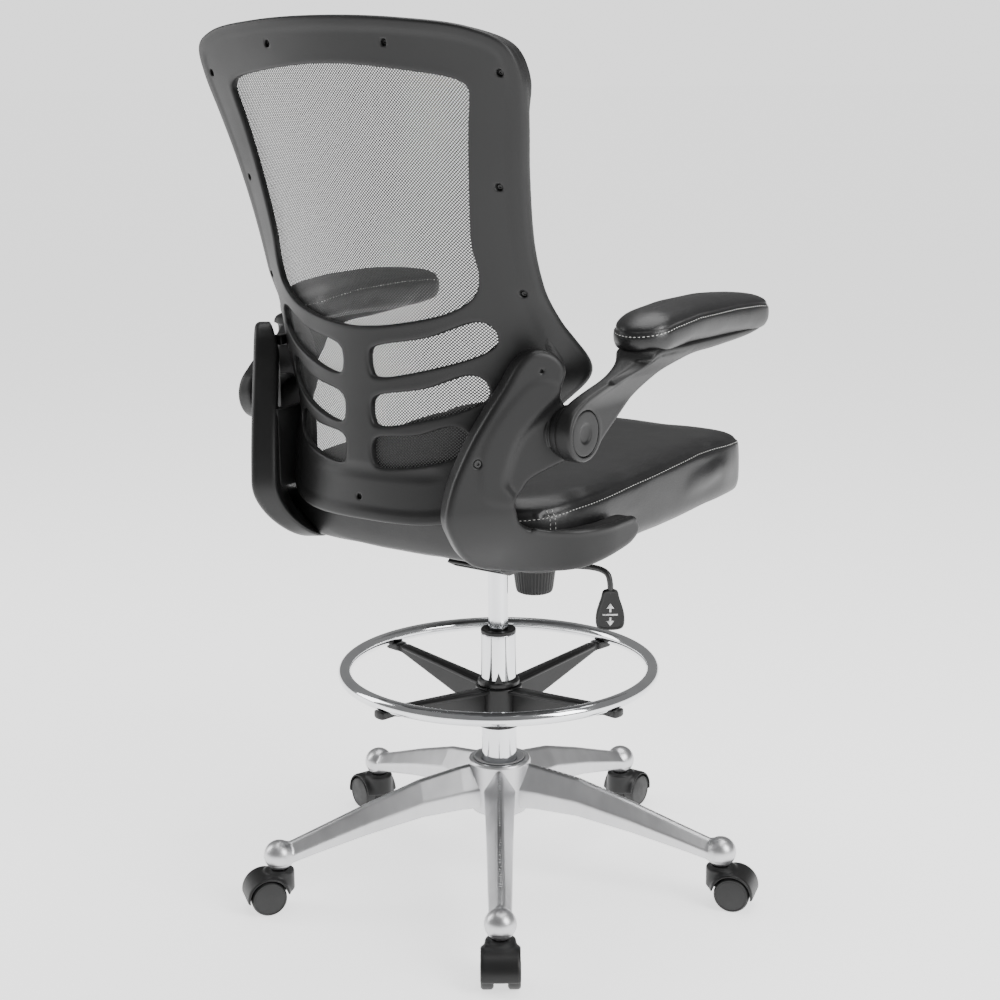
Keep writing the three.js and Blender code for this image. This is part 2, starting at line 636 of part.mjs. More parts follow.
function bracket() {
  const half = BRACKET.thickness / 2;
  const place = (shift) => (run, z, depth) => onBracket(run, z, depth - shift);
  const band = bracketBand(place(half));
  const web = bentPrism(smoothOutline(WEB_OUTLINE, 20), BRACKET.web, 90, 90, place(-half + 16));
  const boss = pinAlongX(31, 214, ARM_INNER - GAP, PIVOT.y, PIVOT.z, 24);
  const footTop = SEAT.bottom - PAN_THICKNESS - 9;
  const foot = block(150, 252, 76, 130, footTop - 6, footTop);
  const lug = block(240, 252, 84, 126, footTop - 6, 562);
  const stubs = BACK_SCREWS.map(({ run, z, reach, below, above }) => {
    const centre = onBracket(run, z, 0);
    return block(centre.x - 8, centre.x + 8, centre.y - reach, centre.y, z - below, z + above);
  });
  const clear = seatClearance();
  const backRoom = bentPrism(smoothOutline(insetOutline(FRAME_OUTLINE, -2), 48), 90, 48, 120, onBack(-2));
  const armRoom = block(ARM_INNER - GAP, 320, 110, 250, 640, 800);
  const joined = cut(join(band, web, boss, foot, lug, ...stubs), backRoom, armRoom, ...clear);
  const bolt = pinAlongX(7 + GAP, 180, 300, PIVOT.y, PIVOT.z, 16);
  return cut(joined, bolt, ...BACK_SCREWS.map(screwHole));
}

// the cushion and pan, a little enlarged, as one cutter
function seatClearance() {
  return [loft([[8, SEAT.bottom - 1], [-2, SEAT.bottom + 9], [-2, SEAT.seam + 2], [18, SEAT.seam + 30]]
    .map(([inset, z]) => seatRing(inset, z)))];
}

const BACK_SCREWS = [
  { run: 34, z: 799, reach: 70, below: 12, above: 12 },
  { run: 116, z: 690, reach: 95, below: 32, above: 34 },
];

function screwHole({ run, z }) {
  const centre = onBracket(run, z, 0);
  return pin(5 + GAP, -60, 40, 12).rotateX(-Math.PI / 2).translate(centre.x, centre.y, z);
}

function backBolt() {
  const { run, z } = BACK_SCREWS[0];
  const centre = onBracket(run, z, 0);
  const bolt = turned([[0, -20], [5, -20], [5, 8], [0, 8]], 12);
  return bolt.rotateX(-Math.PI / 2).translate(centre.x, centre.y, z);
}

// ---------------------------------------------------------------- flip-up arms
const ARM_OUTLINE = [[226, 722], [219, 744], [201, 758], [172, 772], [138, 786], [112, 800], [98, 814],
  [20, 816], [-90, 816], [-165, 816], [-176, 811], [-150, 804], [-60, 797], [0, 794], [34, 781],
  [72, 757], [116, 728], [150, 705], [166, 690], [190, 684], [214, 693]];

function armBody() {
  const thickness = ARM_THICKNESS;
  const splay = (z) => 26 * THREE.MathUtils.smoothstep(z, 745, 805);
  const widen = (z) => 18 * THREE.MathUtils.smoothstep(z, 775, 812);
  const body = bentPrism(smoothOutline(ARM_OUTLINE, 34), thickness, 90, 30, (y, z, depth) => {
    const spread = (depth / thickness - 0.5) * 2 * widen(z);
    return new THREE.Vector3(ARM_INNER + depth + splay(z) + spread, y, z);
  });
  const capSeat = pinAlongX(22 + GAP, ARM_INNER + thickness - 5, 300, PIVOT.y, PIVOT.z, 24);
  const bolt = pinAlongX(7 + GAP, 200, 300, PIVOT.y, PIVOT.z, 16);
  return cut(body, capSeat, bolt);
}

function armPivotCap() {
  const face = ARM_INNER + ARM_THICKNESS;
  return turned([[0, face - 4.7], [22, face - 4.7], [22, face - 1], [20, face], [9, face - 1.8], [0, face - 2]], 24)
    .rotateY(Math.PI / 2).translate(0, PIVOT.y, PIVOT.z);
}

function armPivotBolt() {
  return pinAlongX(7, 206, ARM_INNER + ARM_THICKNESS - 5.4, PIVOT.y, PIVOT.z, 16);
}

function padRing(inset, z) {
  const half = PAD.halfWidth - inset;
  const rear = PAD.rear - inset;
  const front = PAD.front + inset;
  const count = 9;
  const turn = (from, centre) => Array.from({ length: count }, (_, i) => {
    const angle = from + Math.PI * i / (count - 1);
    return new THREE.Vector3(PAD.x + half * Math.cos(angle), centre + half * Math.sin(angle), z);
  });
  return [...turn(0, rear - half), ...turn(Math.PI, front + half)];
}

function armPad() {
  const { bottom, seam, crown } = PAD;
  return loft([[7, bottom + 2 * GAP], [1, bottom + 7], [0, seam], [5, seam + 12], [15, crown - 7], [27, crown - 1], [34, crown]]
    .map(([inset, z]) => padRing(inset, z)));
}

// ---------------------------------------------------------------- assembly
add(chair, 'star_base', starBase(), castAluminium);
add(chair, 'hub_trim_ring', hubTrimRing(), greyPlastic);
for (let i = 0; i < STAR_ARMS; i += 1) addCaster(i);

add(chair, 'outer_column', outerColumn(), chrome);
add(chair, 'column_guide_bush', guideBush(), blackPlastic);
add(chair, 'thrust_bearing', thrustBearing(), steel);
add(chair, 'rod_clip', rodClip(), steel);
add(chair, 'piston_rod', pistonRod(), steel);
add(chair, 'lift_tube', liftTube(), chrome);
add(chair, 'release_button', releaseButton(), greyPlastic);

add(chair, 'foot_ring', footRing(), chrome);
add(chair, 'foot_ring_spider', footRingSpider(), blackPlastic);
add(chair, 'ring_lock_collar', ringLockCollar(), blackPlastic);

add(chair, 'tilt_housing', tiltHousing(), blackSteel);
add(chair, 'tilt_pivot_pin', tiltPivotPin(), steel);
add(chair, 'tension_spring', tensionSpring(), steel);
add(chair, 'tension_washer', tensionWasher(), steel);
add(chair, 'tension_knob', tensionKnob(), blackPlastic);
add(chair, 'tension_bolt', tensionBolt(), steel);
add(chair, 'lever_bush', leverBush(), blackPlastic);
add(chair, 'lever_rod', leverRod(), blackSteel);
add(chair, 'lever_paddle', leverPaddle(), blackPlastic);

add(chair, 'seat_plate', seatPlate(), blackSteel);
add(chair, 'seat_pan', seatPan(), blackPlastic);
add(chair, 'seat_cushion', seatCushion(), vinyl);
add(chair, 'back_frame', backFrame(), shellPlastic);
add(chair, 'back_mesh', backMesh(), meshFabric);
add(chair, 'mesh_retainer', meshRetainer(), blackPlastic);

const pairs = {
  bracket: [bracket(), blackPlastic],
  back_bolt: [backBolt(), steel],
  arm: [armBody(), blackPlastic],
  arm_pad: [armPad(), vinyl],
  arm_pivot_cap: [armPivotCap(), blackPlastic],
  arm_pivot_bolt: [armPivotBolt(), steel],
};
for (const [name, [geometry, material]] of Object.entries(pairs)) {
  add(chair, `${name}_left`, geometry, material);
  add(chair, `${name}_right`, mirrored(geometry), material);
}

chair.position.y = COLUMN_Y;
export default chair;
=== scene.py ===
"""The drafting chair's finished look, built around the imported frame. Metres, +Z up; the sitter faces -Y."""

import json
import math

import bmesh
import bpy
import numpy as np
from mathutils import Matrix, Vector
from mathutils.bvhtree import BVHTree


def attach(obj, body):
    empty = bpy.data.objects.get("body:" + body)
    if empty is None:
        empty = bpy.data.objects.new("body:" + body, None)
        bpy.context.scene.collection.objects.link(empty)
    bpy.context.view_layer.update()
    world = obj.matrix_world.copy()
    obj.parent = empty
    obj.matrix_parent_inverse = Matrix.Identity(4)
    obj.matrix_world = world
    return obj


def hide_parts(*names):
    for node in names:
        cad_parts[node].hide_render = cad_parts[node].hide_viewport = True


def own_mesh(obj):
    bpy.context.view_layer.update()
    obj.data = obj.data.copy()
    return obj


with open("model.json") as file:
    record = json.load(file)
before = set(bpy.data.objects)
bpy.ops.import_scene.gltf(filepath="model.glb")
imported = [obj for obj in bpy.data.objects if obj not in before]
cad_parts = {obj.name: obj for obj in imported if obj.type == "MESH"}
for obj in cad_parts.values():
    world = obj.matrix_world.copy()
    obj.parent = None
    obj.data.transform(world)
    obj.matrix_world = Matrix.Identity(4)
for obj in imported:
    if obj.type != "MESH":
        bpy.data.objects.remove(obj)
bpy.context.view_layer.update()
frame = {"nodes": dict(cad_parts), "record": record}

# ---------------------------------------------------------------- driving dimensions
COLUMN_Y = 0.013                 # the gas column stands behind the middle of the footprint
STAR_ARMS = 5
STAR_RADIUS = 0.326              # caster stems from the column axis
BALL_RADIUS = 0.0215
BALL_Z = 0.079
WHEEL_RADIUS = 0.025
CASTER_TRAIL = 0.020
CASTER_WEB = 0.017
RING_RADIUS = 0.219
RING_TUBE = 0.0095
RING_Z = 0.319
SPIDER_ARMS = 4
SPIDER_TURN = math.radians(81)
ARM_INNER = 0.250
ARM_THICKNESS = 0.023
PIVOT = Vector((0, 0.190 + COLUMN_Y, 0.720))
TOE_IN = math.radians(37)

SEAT_HALF_WIDTH = 0.251
SEAT_FRONT = -0.295
SEAT_BACK = 0.246
SEAT_BOTTOM = 0.547
SEAT_CROWN = 0.636
SEAT_SLOPE = 0.03                # the seat rises this much for each metre forward

SHELL_THICKNESS = 0.009
MESH_FRONT = 0.0135              # the back's fabric lies this far in front of the shell's rear face
MESH_PITCH = 0.0028              # side of one diamond
MESH_STRAND = 0.00127            # width of a strand: about 30 percent of the cloth is open


# ---------------------------------------------------------------- meshes
def mesh_object(name, verts, faces, smooth=True):
    mesh = bpy.data.meshes.new(name)
    verts = np.asarray(verts, float)
    faces = [tuple(int(i) for i in face) for face in faces]
    mesh.from_pydata([tuple(v) for v in verts.tolist()], [], faces)
    mesh.update()
    piece = bpy.data.objects.new(name, mesh)
    bpy.context.scene.collection.objects.link(piece)
    mesh.polygons.foreach_set("use_smooth", [smooth] * len(mesh.polygons))
    return piece


def finish_piece(piece, body, slot, replaced=(), look=None):
    """Gives a piece its body and look (its slot's, unless another is given), and hides the parts it replaces.
    """
    piece.data.materials.clear()
    piece.data.materials.append(look or LOOKS[slot])
    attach(piece, body)
    if replaced:
        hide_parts(*replaced)
    return piece


def merged(name, parts):
    """One piece from a list of (vertices, faces)."""
    verts, faces, start = [], [], 0
    for part_verts, part_faces in parts:
        verts.append(np.asarray(part_verts, float))
        faces += [[i + start for i in face] for face in part_faces]
        start += len(part_verts)
    return mesh_object(name, np.concatenate(verts), faces)


def turned(profile, sides=64, ribs=0, rib_depth=0.0):
    """(vertices, faces) turned about +Z from [radius, z] points that start and end on the axis or meet."""
    profile = np.array(profile, float)
    angle = np.arange(sides) * 2 * math.pi / sides
    wave = 1 - rib_depth * (0.5 + 0.5 * np.cos(ribs * angle)) ** 3 if ribs else np.ones(sides)
    verts = []
    for radius, z in profile:
        verts += [(radius * w * math.cos(a), radius * w * math.sin(a), z) for a, w in zip(angle, wave)]
    faces = []
    for r in range(len(profile) - 1):
        for i in range(sides):
            j = (i + 1) % sides
            faces.append((r * sides + i, r * sides + j, (r + 1) * sides + j, (r + 1) * sides + i))
    return np.array(verts), faces


def clean(piece, distance=1e-6):
    """Merges doubled points, drops the flat faces that leaves, and turns every face outward."""
    bm = bmesh.new()
    bm.from_mesh(piece.data)
    bmesh.ops.remove_doubles(bm, verts=bm.verts, dist=distance)
    bmesh.ops.dissolve_degenerate(bm, edges=bm.edges, dist=distance)
    bmesh.ops.recalc_face_normals(bm, faces=bm.faces)
    bm.to_mesh(piece.data)
    bm.free()
    return piece


def sharp_edges(piece, angle=35):
    """Smooth shading that breaks at edges sharper than an angle in degrees."""
    piece.data.set_sharp_from_angle(angle=math.radians(angle))
    return piece


def rounded_profile(points, radius, steps=4):
    """Replaces each inner corner of a profile by a small arc."""
    points = [np.array(p, float) for p in points]
    out = [points[0]]
    for before, corner, after in zip(points, points[1:], points[2:]):
        to_before, to_after = before - corner, after - corner
        reach = min(radius, np.linalg.norm(to_before) / 2.05, np.linalg.norm(to_after) / 2.05)
        a = corner + to_before / np.linalg.norm(to_before) * reach
        b = corner + to_after / np.linalg.norm(to_after) * reach
        for s in np.linspace(0, 1, steps + 1):
            out.append(a * (1 - s) ** 2 + corner * 2 * s * (1 - s) + b * s ** 2)
    out.append(points[-1])
    return out


def moved(part, rotation=None, offset=(0, 0, 0)):
    verts, faces = part
    verts = np.asarray(verts, float)
    if rotation is not None:
        verts = verts @ np.array(rotation.to_3x3()).T
    return verts + np.array(offset), faces


def mirrored(part):
    verts, faces = part
    return np.asarray(verts) * (-1, 1, 1), [face[::-1] for face in faces]


def sided(part, label):
    """The part itself on the left, its mirror image on the right."""
    return part if label == "left" else mirrored(part)


def about_z(angle):
    return Matrix.Rotation(angle, 4, "Z")


def tube_along(points, radius, sides=16):
    """(vertices, faces) of a round tube with flat ends along a list of points."""
    points = [Vector(p) for p in points]
    verts, faces = [], []
    side = Vector((0, 1, 0))
    for i, point in enumerate(points):
        ahead = (points[min(i + 1, len(points) - 1)] - points[max(i - 1, 0)]).normalized()
        side = (side - ahead * side.dot(ahead)).normalized()
        up = ahead.cross(side)
        for k in range(sides):
            a = 2 * math.pi * k / sides
            verts.append(point + (side * math.cos(a) + up * math.sin(a)) * radius)
    for i in range(len(points) - 1):
        for k in range(sides):
            n = (k + 1) % sides
            faces.append((i * sides + k, i * sides + n, (i + 1) * sides + n, (i + 1) * sides + k))
    faces.append(tuple(reversed(range(sides))))
    faces.append(tuple(range((len(points) - 1) * sides, len(points) * sides)))
    return np.array([tuple(v) for v in verts]), faces


def smooth_curve(points, steps, closed=False):
    """Points on a centripetal-like smooth curve through a few control points."""
    pts = np.array(points, float)
    n = len(pts)
    spans = n if closed else n - 1
    out = []
    for i in range(spans):
        if closed:
            p0, p1, p2, p3 = (pts[(i + k) % n] for k in (-1, 0, 1, 2))
        else:
            p1, p2 = pts[i], pts[i + 1]
            p0 = pts[i - 1] if i else 2 * p1 - p2
            p3 = pts[i + 2] if i + 2 < n else 2 * p2 - p1
        d1, d2, d3 = (max(np.linalg.norm(b - a), 1e-9) ** 0.5 for a, b in ((p0, p1), (p1, p2), (p2, p3)))
        m1 = (p1 - p0) / d1 - (p2 - p0) / (d1 + d2) + (p2 - p1) / d2
        m2 = (p2 - p1) / d2 - (p3 - p1) / (d2 + d3) + (p3 - p2) / d3
        for s in np.arange(steps) / steps:
            h = (2 * s**3 - 3 * s**2 + 1, s**3 - 2 * s**2 + s, -2 * s**3 + 3 * s**2, s**3 - s**2)
            out.append(h[0] * p1 + h[1] * m1 * d2 + h[2] * p2 + h[3] * m2 * d2)
    if not closed:
        out.append(pts[-1])
    return np.array(out)


# ---------------------------------------------------------------- fields: negative inside, metres
def soft_max(a, b, k):
    h = np.clip(0.5 - 0.5 * (b - a) / k, 0, 1)
    return b * (1 - h) + a * h + k * h * (1 - h)


def soft_min(a, b, k):
    return -soft_max(-a, -b, k)


def smoothstep(value, low, high):
    t = np.clip((value - low) / (high - low), 0, 1)
    return t * t * (3 - 2 * t)


def slab(value, low, high):
    return np.abs(value - (low + high) / 2) - (high - low) / 2


def outline_field(points, steps=8, spacing=0.002, margin=0.025):
    """Signed distance to a closed smooth outline as a function of (u, v), read from a fine grid."""
    ring = smooth_curve(points, steps, closed=True)
    low = ring.min(0) - margin
    u = np.arange(low[0], ring[:, 0].max() + margin, spacing)
    v = np.arange(low[1], ring[:, 1].max() + margin, spacing)
    grid_u, grid_v = np.meshgrid(u, v, indexing="ij")
    distance = np.full(grid_u.shape, 9.0)
    inside = np.zeros(grid_u.shape, bool)
    for (au, av), (bu, bv) in zip(ring, np.roll(ring, -1, axis=0)):
        du, dv = bu - au, bv - av
        along = np.clip(((grid_u - au) * du + (grid_v - av) * dv) / (du * du + dv * dv + 1e-15), 0, 1)
        distance = np.minimum(distance, np.hypot(grid_u - au - along * du, grid_v - av - along * dv))
        if abs(dv) > 1e-12:
            crosses = (grid_v < max(av, bv)) & (grid_v >= min(av, bv))
            inside ^= crosses & (grid_u < au + (grid_v - av) * du / dv)
    signed = np.where(inside, -distance, distance)

    def sample(at_u, at_v):
        fu = np.clip((at_u - low[0]) / spacing, 0, len(u) - 1.001)
        fv = np.clip((at_v - low[1]) / spacing, 0, len(v) - 1.001)
        iu, iv = fu.astype(int), fv.astype(int)
        tu, tv = fu - iu, fv - iv
        near = signed[iu, iv] * (1 - tu) + signed[iu + 1, iv] * tu
        far = signed[iu, iv + 1] * (1 - tu) + signed[iu + 1, iv + 1] * tu
        return near * (1 - tv) + far * tv

    return sample


def surface_net(field, low, high, step, settle=3):
    """(vertices, faces) of the surface where field(x, y, z) is zero, between two corners."""
    axes = [np.arange(a, b + step, step) for a, b in zip(low, high)]
    value = field(*np.meshgrid(*axes, indexing="ij"))
    cells = tuple(n - 1 for n in value.shape)
    total = [np.zeros(cells) for _ in range(3)]
    count = np.zeros(cells, int)
    crossings = []
    for axis in range(3):
        u, v = (axis + 1) % 3, (axis + 2) % 3
        first = np.take(value, range(cells[axis]), axis)
        second = np.take(value, range(1, cells[axis] + 1), axis)
        crosses = (first < 0) != (second < 0)
        along = np.where(crosses, first / np.where(crosses, first - second, 1), 0)
        crossings.append((crosses, first < 0))
        for du in (0, 1):
            for dv in (0, 1):
                part = [slice(None)] * 3
                part[u] = slice(du, du + cells[u])
                part[v] = slice(dv, dv + cells[v])
                hit = crosses[tuple(part)]
                total[axis] += along[tuple(part)]
                total[u] += hit * du
                total[v] += hit * dv
                count += hit
    active = np.argwhere(count > 0)
    number = np.full(cells, -1)
    number[tuple(active.T)] = np.arange(len(active))
    spots = tuple(active.T)
    verts = np.stack([(total[k][spots] / count[spots] + active[:, k]) * step + low[k] for k in range(3)], 1)
    faces = []
    for axis in range(3):
        u, v = (axis + 1) % 3, (axis + 2) % 3
        crosses, starts_inside = crossings[axis]
        edges = np.argwhere(crosses)
        kept = (edges[:, u] > 0) & (edges[:, v] > 0) & (edges[:, u] < cells[u]) & (edges[:, v] < cells[v])
        edges = edges[kept]
        corners = []
        for du, dv in ((1, 1), (0, 1), (0, 0), (1, 0)):
            cell = edges.copy()
            cell[:, u] -= du
            cell[:, v] -= dv
            corners.append(number[tuple(cell.T)])
        quads = np.stack(corners, 1)
        outward = starts_inside[tuple(edges.T)]
        quads[~outward] = quads[~outward][:, ::-1]
        faces.append(quads)
    for _ in range(settle):
        verts = settled(field, verts, step)
    return verts, np.concatenate(faces).tolist()


def settled(field, verts, step):
    """Moves points straight onto the field's zero surface, by at most half a step."""
    here = field(*verts.T)
    reach = step * 0.2
    slope = []
    for k in range(3):
        nudge = np.zeros(3)
        nudge[k] = reach
        slope.append((field(*(verts + nudge).T) - field(*(verts - nudge).T)) / (2 * reach))
    slope = np.stack(slope, 1)
    shift = -here[:, None] * slope / np.maximum((slope ** 2).sum(1), 0.05)[:, None]
    length = np.linalg.norm(shift, axis=1, keepdims=True)
    return verts + shift * np.minimum(1, step * 0.5 / np.maximum(length, 1e-12))


# ---------------------------------------------------------------- materials
def node_material(name, color, roughness, metallic=0.0, **inputs):
    """A principled material. Returns (material, nodes, links, shader)."""
    material = bpy.data.materials.new(name)
    material.use_nodes = True
    nodes, links = material.node_tree.nodes, material.node_tree.links
    shader = nodes["Principled BSDF"]
    shader.inputs["Base Color"].default_value = (*color, 1)
    shader.inputs["Roughness"].default_value = roughness
    shader.inputs["Metallic"].default_value = metallic
    for key, value in inputs.items():
        shader.inputs[key.replace("_", " ")].default_value = value
    return material, nodes, links, shader


def noise(nodes, links, scale, detail=3.0, stretch=(1, 1, 1)):
    """Noise in the object's own metres; stretch draws it out along an axis."""
    place = nodes.new("ShaderNodeTexCoord")
    mapping = nodes.new("ShaderNodeMapping")
    mapping.inputs["Scale"].default_value = stretch
    texture = nodes.new("ShaderNodeTexNoise")
    texture.inputs["Scale"].default_value = scale
    texture.inputs["Detail"].default_value = detail
    links.new(place.outputs["Object"], mapping.inputs["Vector"])
    links.new(mapping.outputs["Vector"], texture.inputs["Vector"])
    return texture


def spread(nodes, links, source, low, high):
    """Maps a 0.3 to 0.7 texture value onto low to high."""
    ranged = nodes.new("ShaderNodeMapRange")
    ranged.inputs["From Min"].default_value = 0.3
    ranged.inputs["From Max"].default_value = 0.7
    ranged.inputs["To Min"].default_value = low
    ranged.inputs["To Max"].default_value = high
    links.new(source, ranged.inputs["Value"])
    return ranged.outputs["Result"]


def bump(nodes, links, shader, height, distance, strength=1.0, under=None):
    node = nodes.new("ShaderNodeBump")
    node.inputs["Strength"].default_value = strength
    node.inputs["Distance"].default_value = distance
    links.new(height, node.inputs["Height"])
    if under is not None:
        links.new(under.outputs["Normal"], node.inputs["Normal"])
    links.new(node.outputs["Normal"], shader.inputs["Normal"])
    return node


def tinted(nodes, links, shader, source, dark, light):
    """Drives the base colour between two colours."""
    ramp = nodes.new("ShaderNodeValToRGB")
    ramp.color_ramp.elements[0].position = 0.3
    ramp.color_ramp.elements[0].color = (*dark, 1)
    ramp.color_ramp.elements[1].position = 0.7
    ramp.color_ramp.elements[1].color = (*light, 1)
    links.new(source, ramp.inputs["Fac"])
    links.new(ramp.outputs["Color"], shader.inputs["Base Color"])


def moulded_plastic(name, shade, roughness, grain=1400, depth=0.00012):
    """Satin moulded plastic: a spark-eroded grain, soft rubbed patches and a slight change of tone."""
    color = (shade, shade, shade * 1.02)
    material, nodes, links, shader = node_material(name, color, roughness, Specular_IOR_Level=0.4)
    patches = noise(nodes, links, 9, 4)
    grained = noise(nodes, links, grain, 2)
    links.new(spread(nodes, links, patches.outputs["Fac"], roughness - 0.06, roughness + 0.07),
              shader.inputs["Roughness"])
    tinted(nodes, links, shader, patches.outputs["Fac"], tuple(c * 0.88 for c in color),
           tuple(c * 1.15 for c in color))
    bump(nodes, links, shader, grained.outputs["Fac"], depth, 0.6)
    return material


def vinyl(name):
    """Black upholstery vinyl: fine pebbled leather grain over soft creases, with a light sheen."""
    color = (0.008, 0.008, 0.0083)
    material, nodes, links, shader = node_material(
        name, color, 0.38, Specular_IOR_Level=0.55, Coat_Weight=0.08, Coat_Roughness=0.35)
    place = nodes.new("ShaderNodeTexCoord")
    pebbles = nodes.new("ShaderNodeTexVoronoi")
    pebbles.inputs["Scale"].default_value = 620
    links.new(place.outputs["Object"], pebbles.inputs["Vector"])
    creases = noise(nodes, links, 34, 5)
    patches = noise(nodes, links, 7, 3)
    links.new(spread(nodes, links, patches.outputs["Fac"], 0.33, 0.45), shader.inputs["Roughness"])
    tinted(nodes, links, shader, creases.outputs["Fac"], tuple(c * 0.8 for c in color),
           tuple(c * 1.3 for c in color))
    soft = bump(nodes, links, shader, creases.outputs["Fac"], 0.0012, 0.35)
    bump(nodes, links, shader, pebbles.outputs["Distance"], 0.00022, 0.5, under=soft)
    return material


def mottled(name, color, roughness, metallic, texture, tones, rough_range=None, fine=None, **inputs):
    """A material whose tone, and roughness if a range is given, follow one noise, with fine = bump on top.

    texture is the noise's (scale, detail, stretch); fine is (scale, detail, depth, strength), where a scale
    of None takes the same noise.
    """
    material, nodes, links, shader = node_material(name, color, roughness, metallic, **inputs)
    broad = noise(nodes, links, *texture)
    grain = noise(nodes, links, *fine[:2]) if fine and fine[0] else broad
    if rough_range:
        links.new(spread(nodes, links, broad.outputs["Fac"], *rough_range), shader.inputs["Roughness"])
    tinted(nodes, links, shader, broad.outputs["Fac"], *tones)
    if fine:
        bump(nodes, links, shader, grain.outputs["Fac"], *fine[2:])
    return material


def grey(value):
    return (value, value, value)


EVEN = (1, 1, 1)
LOOKS = {
    "black_plastic": moulded_plastic("black_plastic", 0.0065, 0.42),
    "shell_plastic": moulded_plastic("shell_plastic", 0.009, 0.46, 1100, 0.00018),
    "trim_grey": moulded_plastic("trim_grey", 0.34, 0.4),
    "seat_vinyl": vinyl("seat_vinyl"),
    "arm_vinyl": vinyl("arm_vinyl"),
    # black monofilament, each strand faintly ribbed and a little glossy
    "mesh_fabric": mottled(
        "mesh_fabric", grey(0.012), 0.5, 0.0, (900, 2, (1, 1, 3)), (grey(0.008), grey(0.02)),
        fine=(None, None, 0.0003, 0.5), Specular_IOR_Level=0.4),
    # polished chrome with a faint haze
    "chrome": mottled(
        "chrome", (0.80, 0.81, 0.82), 0.07, 1.0, (22, 4, (1, 1, 0.3)),
        ((0.74, 0.75, 0.77), (0.84, 0.85, 0.86)), (0.04, 0.13)),
    # die-cast aluminium, bead blasted: a fine sparkle and long soft streaks
    "star_aluminium": mottled(
        "star_aluminium", (0.60, 0.60, 0.61), 0.36, 1.0, (60, 4, (1, 1, 0.25)),
        ((0.60, 0.60, 0.61), (0.65, 0.65, 0.66)), (0.33, 0.38), (2200, 1, 0.00008, 0.5)),
    # zinc-plated steel, brushed by handling
    "steel": mottled(
        "steel", (0.42, 0.43, 0.45), 0.32, 1.0, (140, 4, (1, 1, 4)),
        ((0.36, 0.37, 0.38), (0.48, 0.49, 0.5)), (0.25, 0.42)),
    # black powder coat with orange peel
    "black_steel": mottled(
        "black_steel", grey(0.014), 0.4, 0.0, (12, 3, EVEN), (grey(0.011), grey(0.018)),
        (0.34, 0.46), (420, 2, 0.0004, 0.5)),
    # caster tread: matte, dusty, slightly scuffed
    "caster_tread": mottled(
        "caster_tread", grey(0.009), 0.5, 0.0, (70, 5, EVEN), (grey(0.007), grey(0.013)),
        (0.4, 0.6), (None, None, 0.0003, 0.3)),
}
# white polyester thread, and the white print on the lever, slightly worn
THREAD = mottled(
    "thread", (0.72, 0.72, 0.70), 0.6, 0.0, (2600, 1, EVEN), ((0.52, 0.52, 0.5), (0.8, 0.8, 0.78)))
PRINT = mottled("printed_white", grey(0.7), 0.5, 0.0, (500, 4, EVEN), (grey(0.5), grey(0.78)))


def dress_cad_nodes():
    """Every carried-over CAD node takes its slot's material."""
    for entry in frame["record"]["subparts"]:
        node = frame["nodes"][entry["node"]]
        node.data.materials.clear()
        node.data.materials.append(LOOKS[entry["material_slot"]])
        node.data.polygons.foreach_set("use_smooth", [True] * len(node.data.polygons))
        sharp_edges(node, 30)


# ---------------------------------------------------------------- star base
ARM_DISTANCE = (0.030, 0.060, 0.120, 0.200, 0.270, 0.322)
ARM_HALF_WIDTH = (0.0235, 0.0225, 0.0205, 0.0185, 0.017, 0.0155)
ARM_BOTTOM = (0.116, 0.117, 0.113, 0.097, 0.080, 0.066)
ARM_TOP = (0.181, 0.177, 0.165, 0.138, 0.112, 0.093)
HUB_BOTTOM = 0.108
HUB_TOP = 0.185


def star_arm_field(x, y, z):
    """One arm along +X with its ball end: a pentagonal section with a soft ridge, hollow underneath."""
    half = np.interp(x, ARM_DISTANCE, ARM_HALF_WIDTH)
    bottom = np.interp(x, ARM_DISTANCE, ARM_BOTTOM)
    top = np.interp(x, ARM_DISTANCE, ARM_TOP)
    across = np.abs(y)
    crease = bottom + (top - bottom) * 0.45
    ridge = 0.004
    lean = (half - ridge) / (top - crease)
    shoulder = (across - ridge - (top - z) * lean) / np.sqrt(1 + lean ** 2)
    side = across - half + (crease - z) * 0.16
    section = soft_max(soft_max(shoulder, side, 0.0025), z - top, 0.004)
    section = soft_max(section, bottom - z, 0.003)
    inner = np.maximum(np.maximum(shoulder + 0.004, side + 0.004), 0.06 - x)
    inner = np.maximum(inner, x - 0.280)
    section = soft_max(section, -inner, 0.0015)
    section = soft_max(section, x - 0.326, 0.004)
    distance = np.sqrt((x - STAR_RADIUS) ** 2 + y ** 2 + (z - BALL_Z) ** 2)
    ball = distance - BALL_RADIUS
    seam = np.hypot(np.hypot(x - STAR_RADIUS, y) - BALL_RADIUS * 0.9, z - BALL_Z + 0.0105) - 0.0011
    ball = soft_max(ball, -seam, 0.0006)
    ball = np.maximum(ball, BALL_Z - 0.0188 - z)
    return soft_min(section, ball, 0.004)


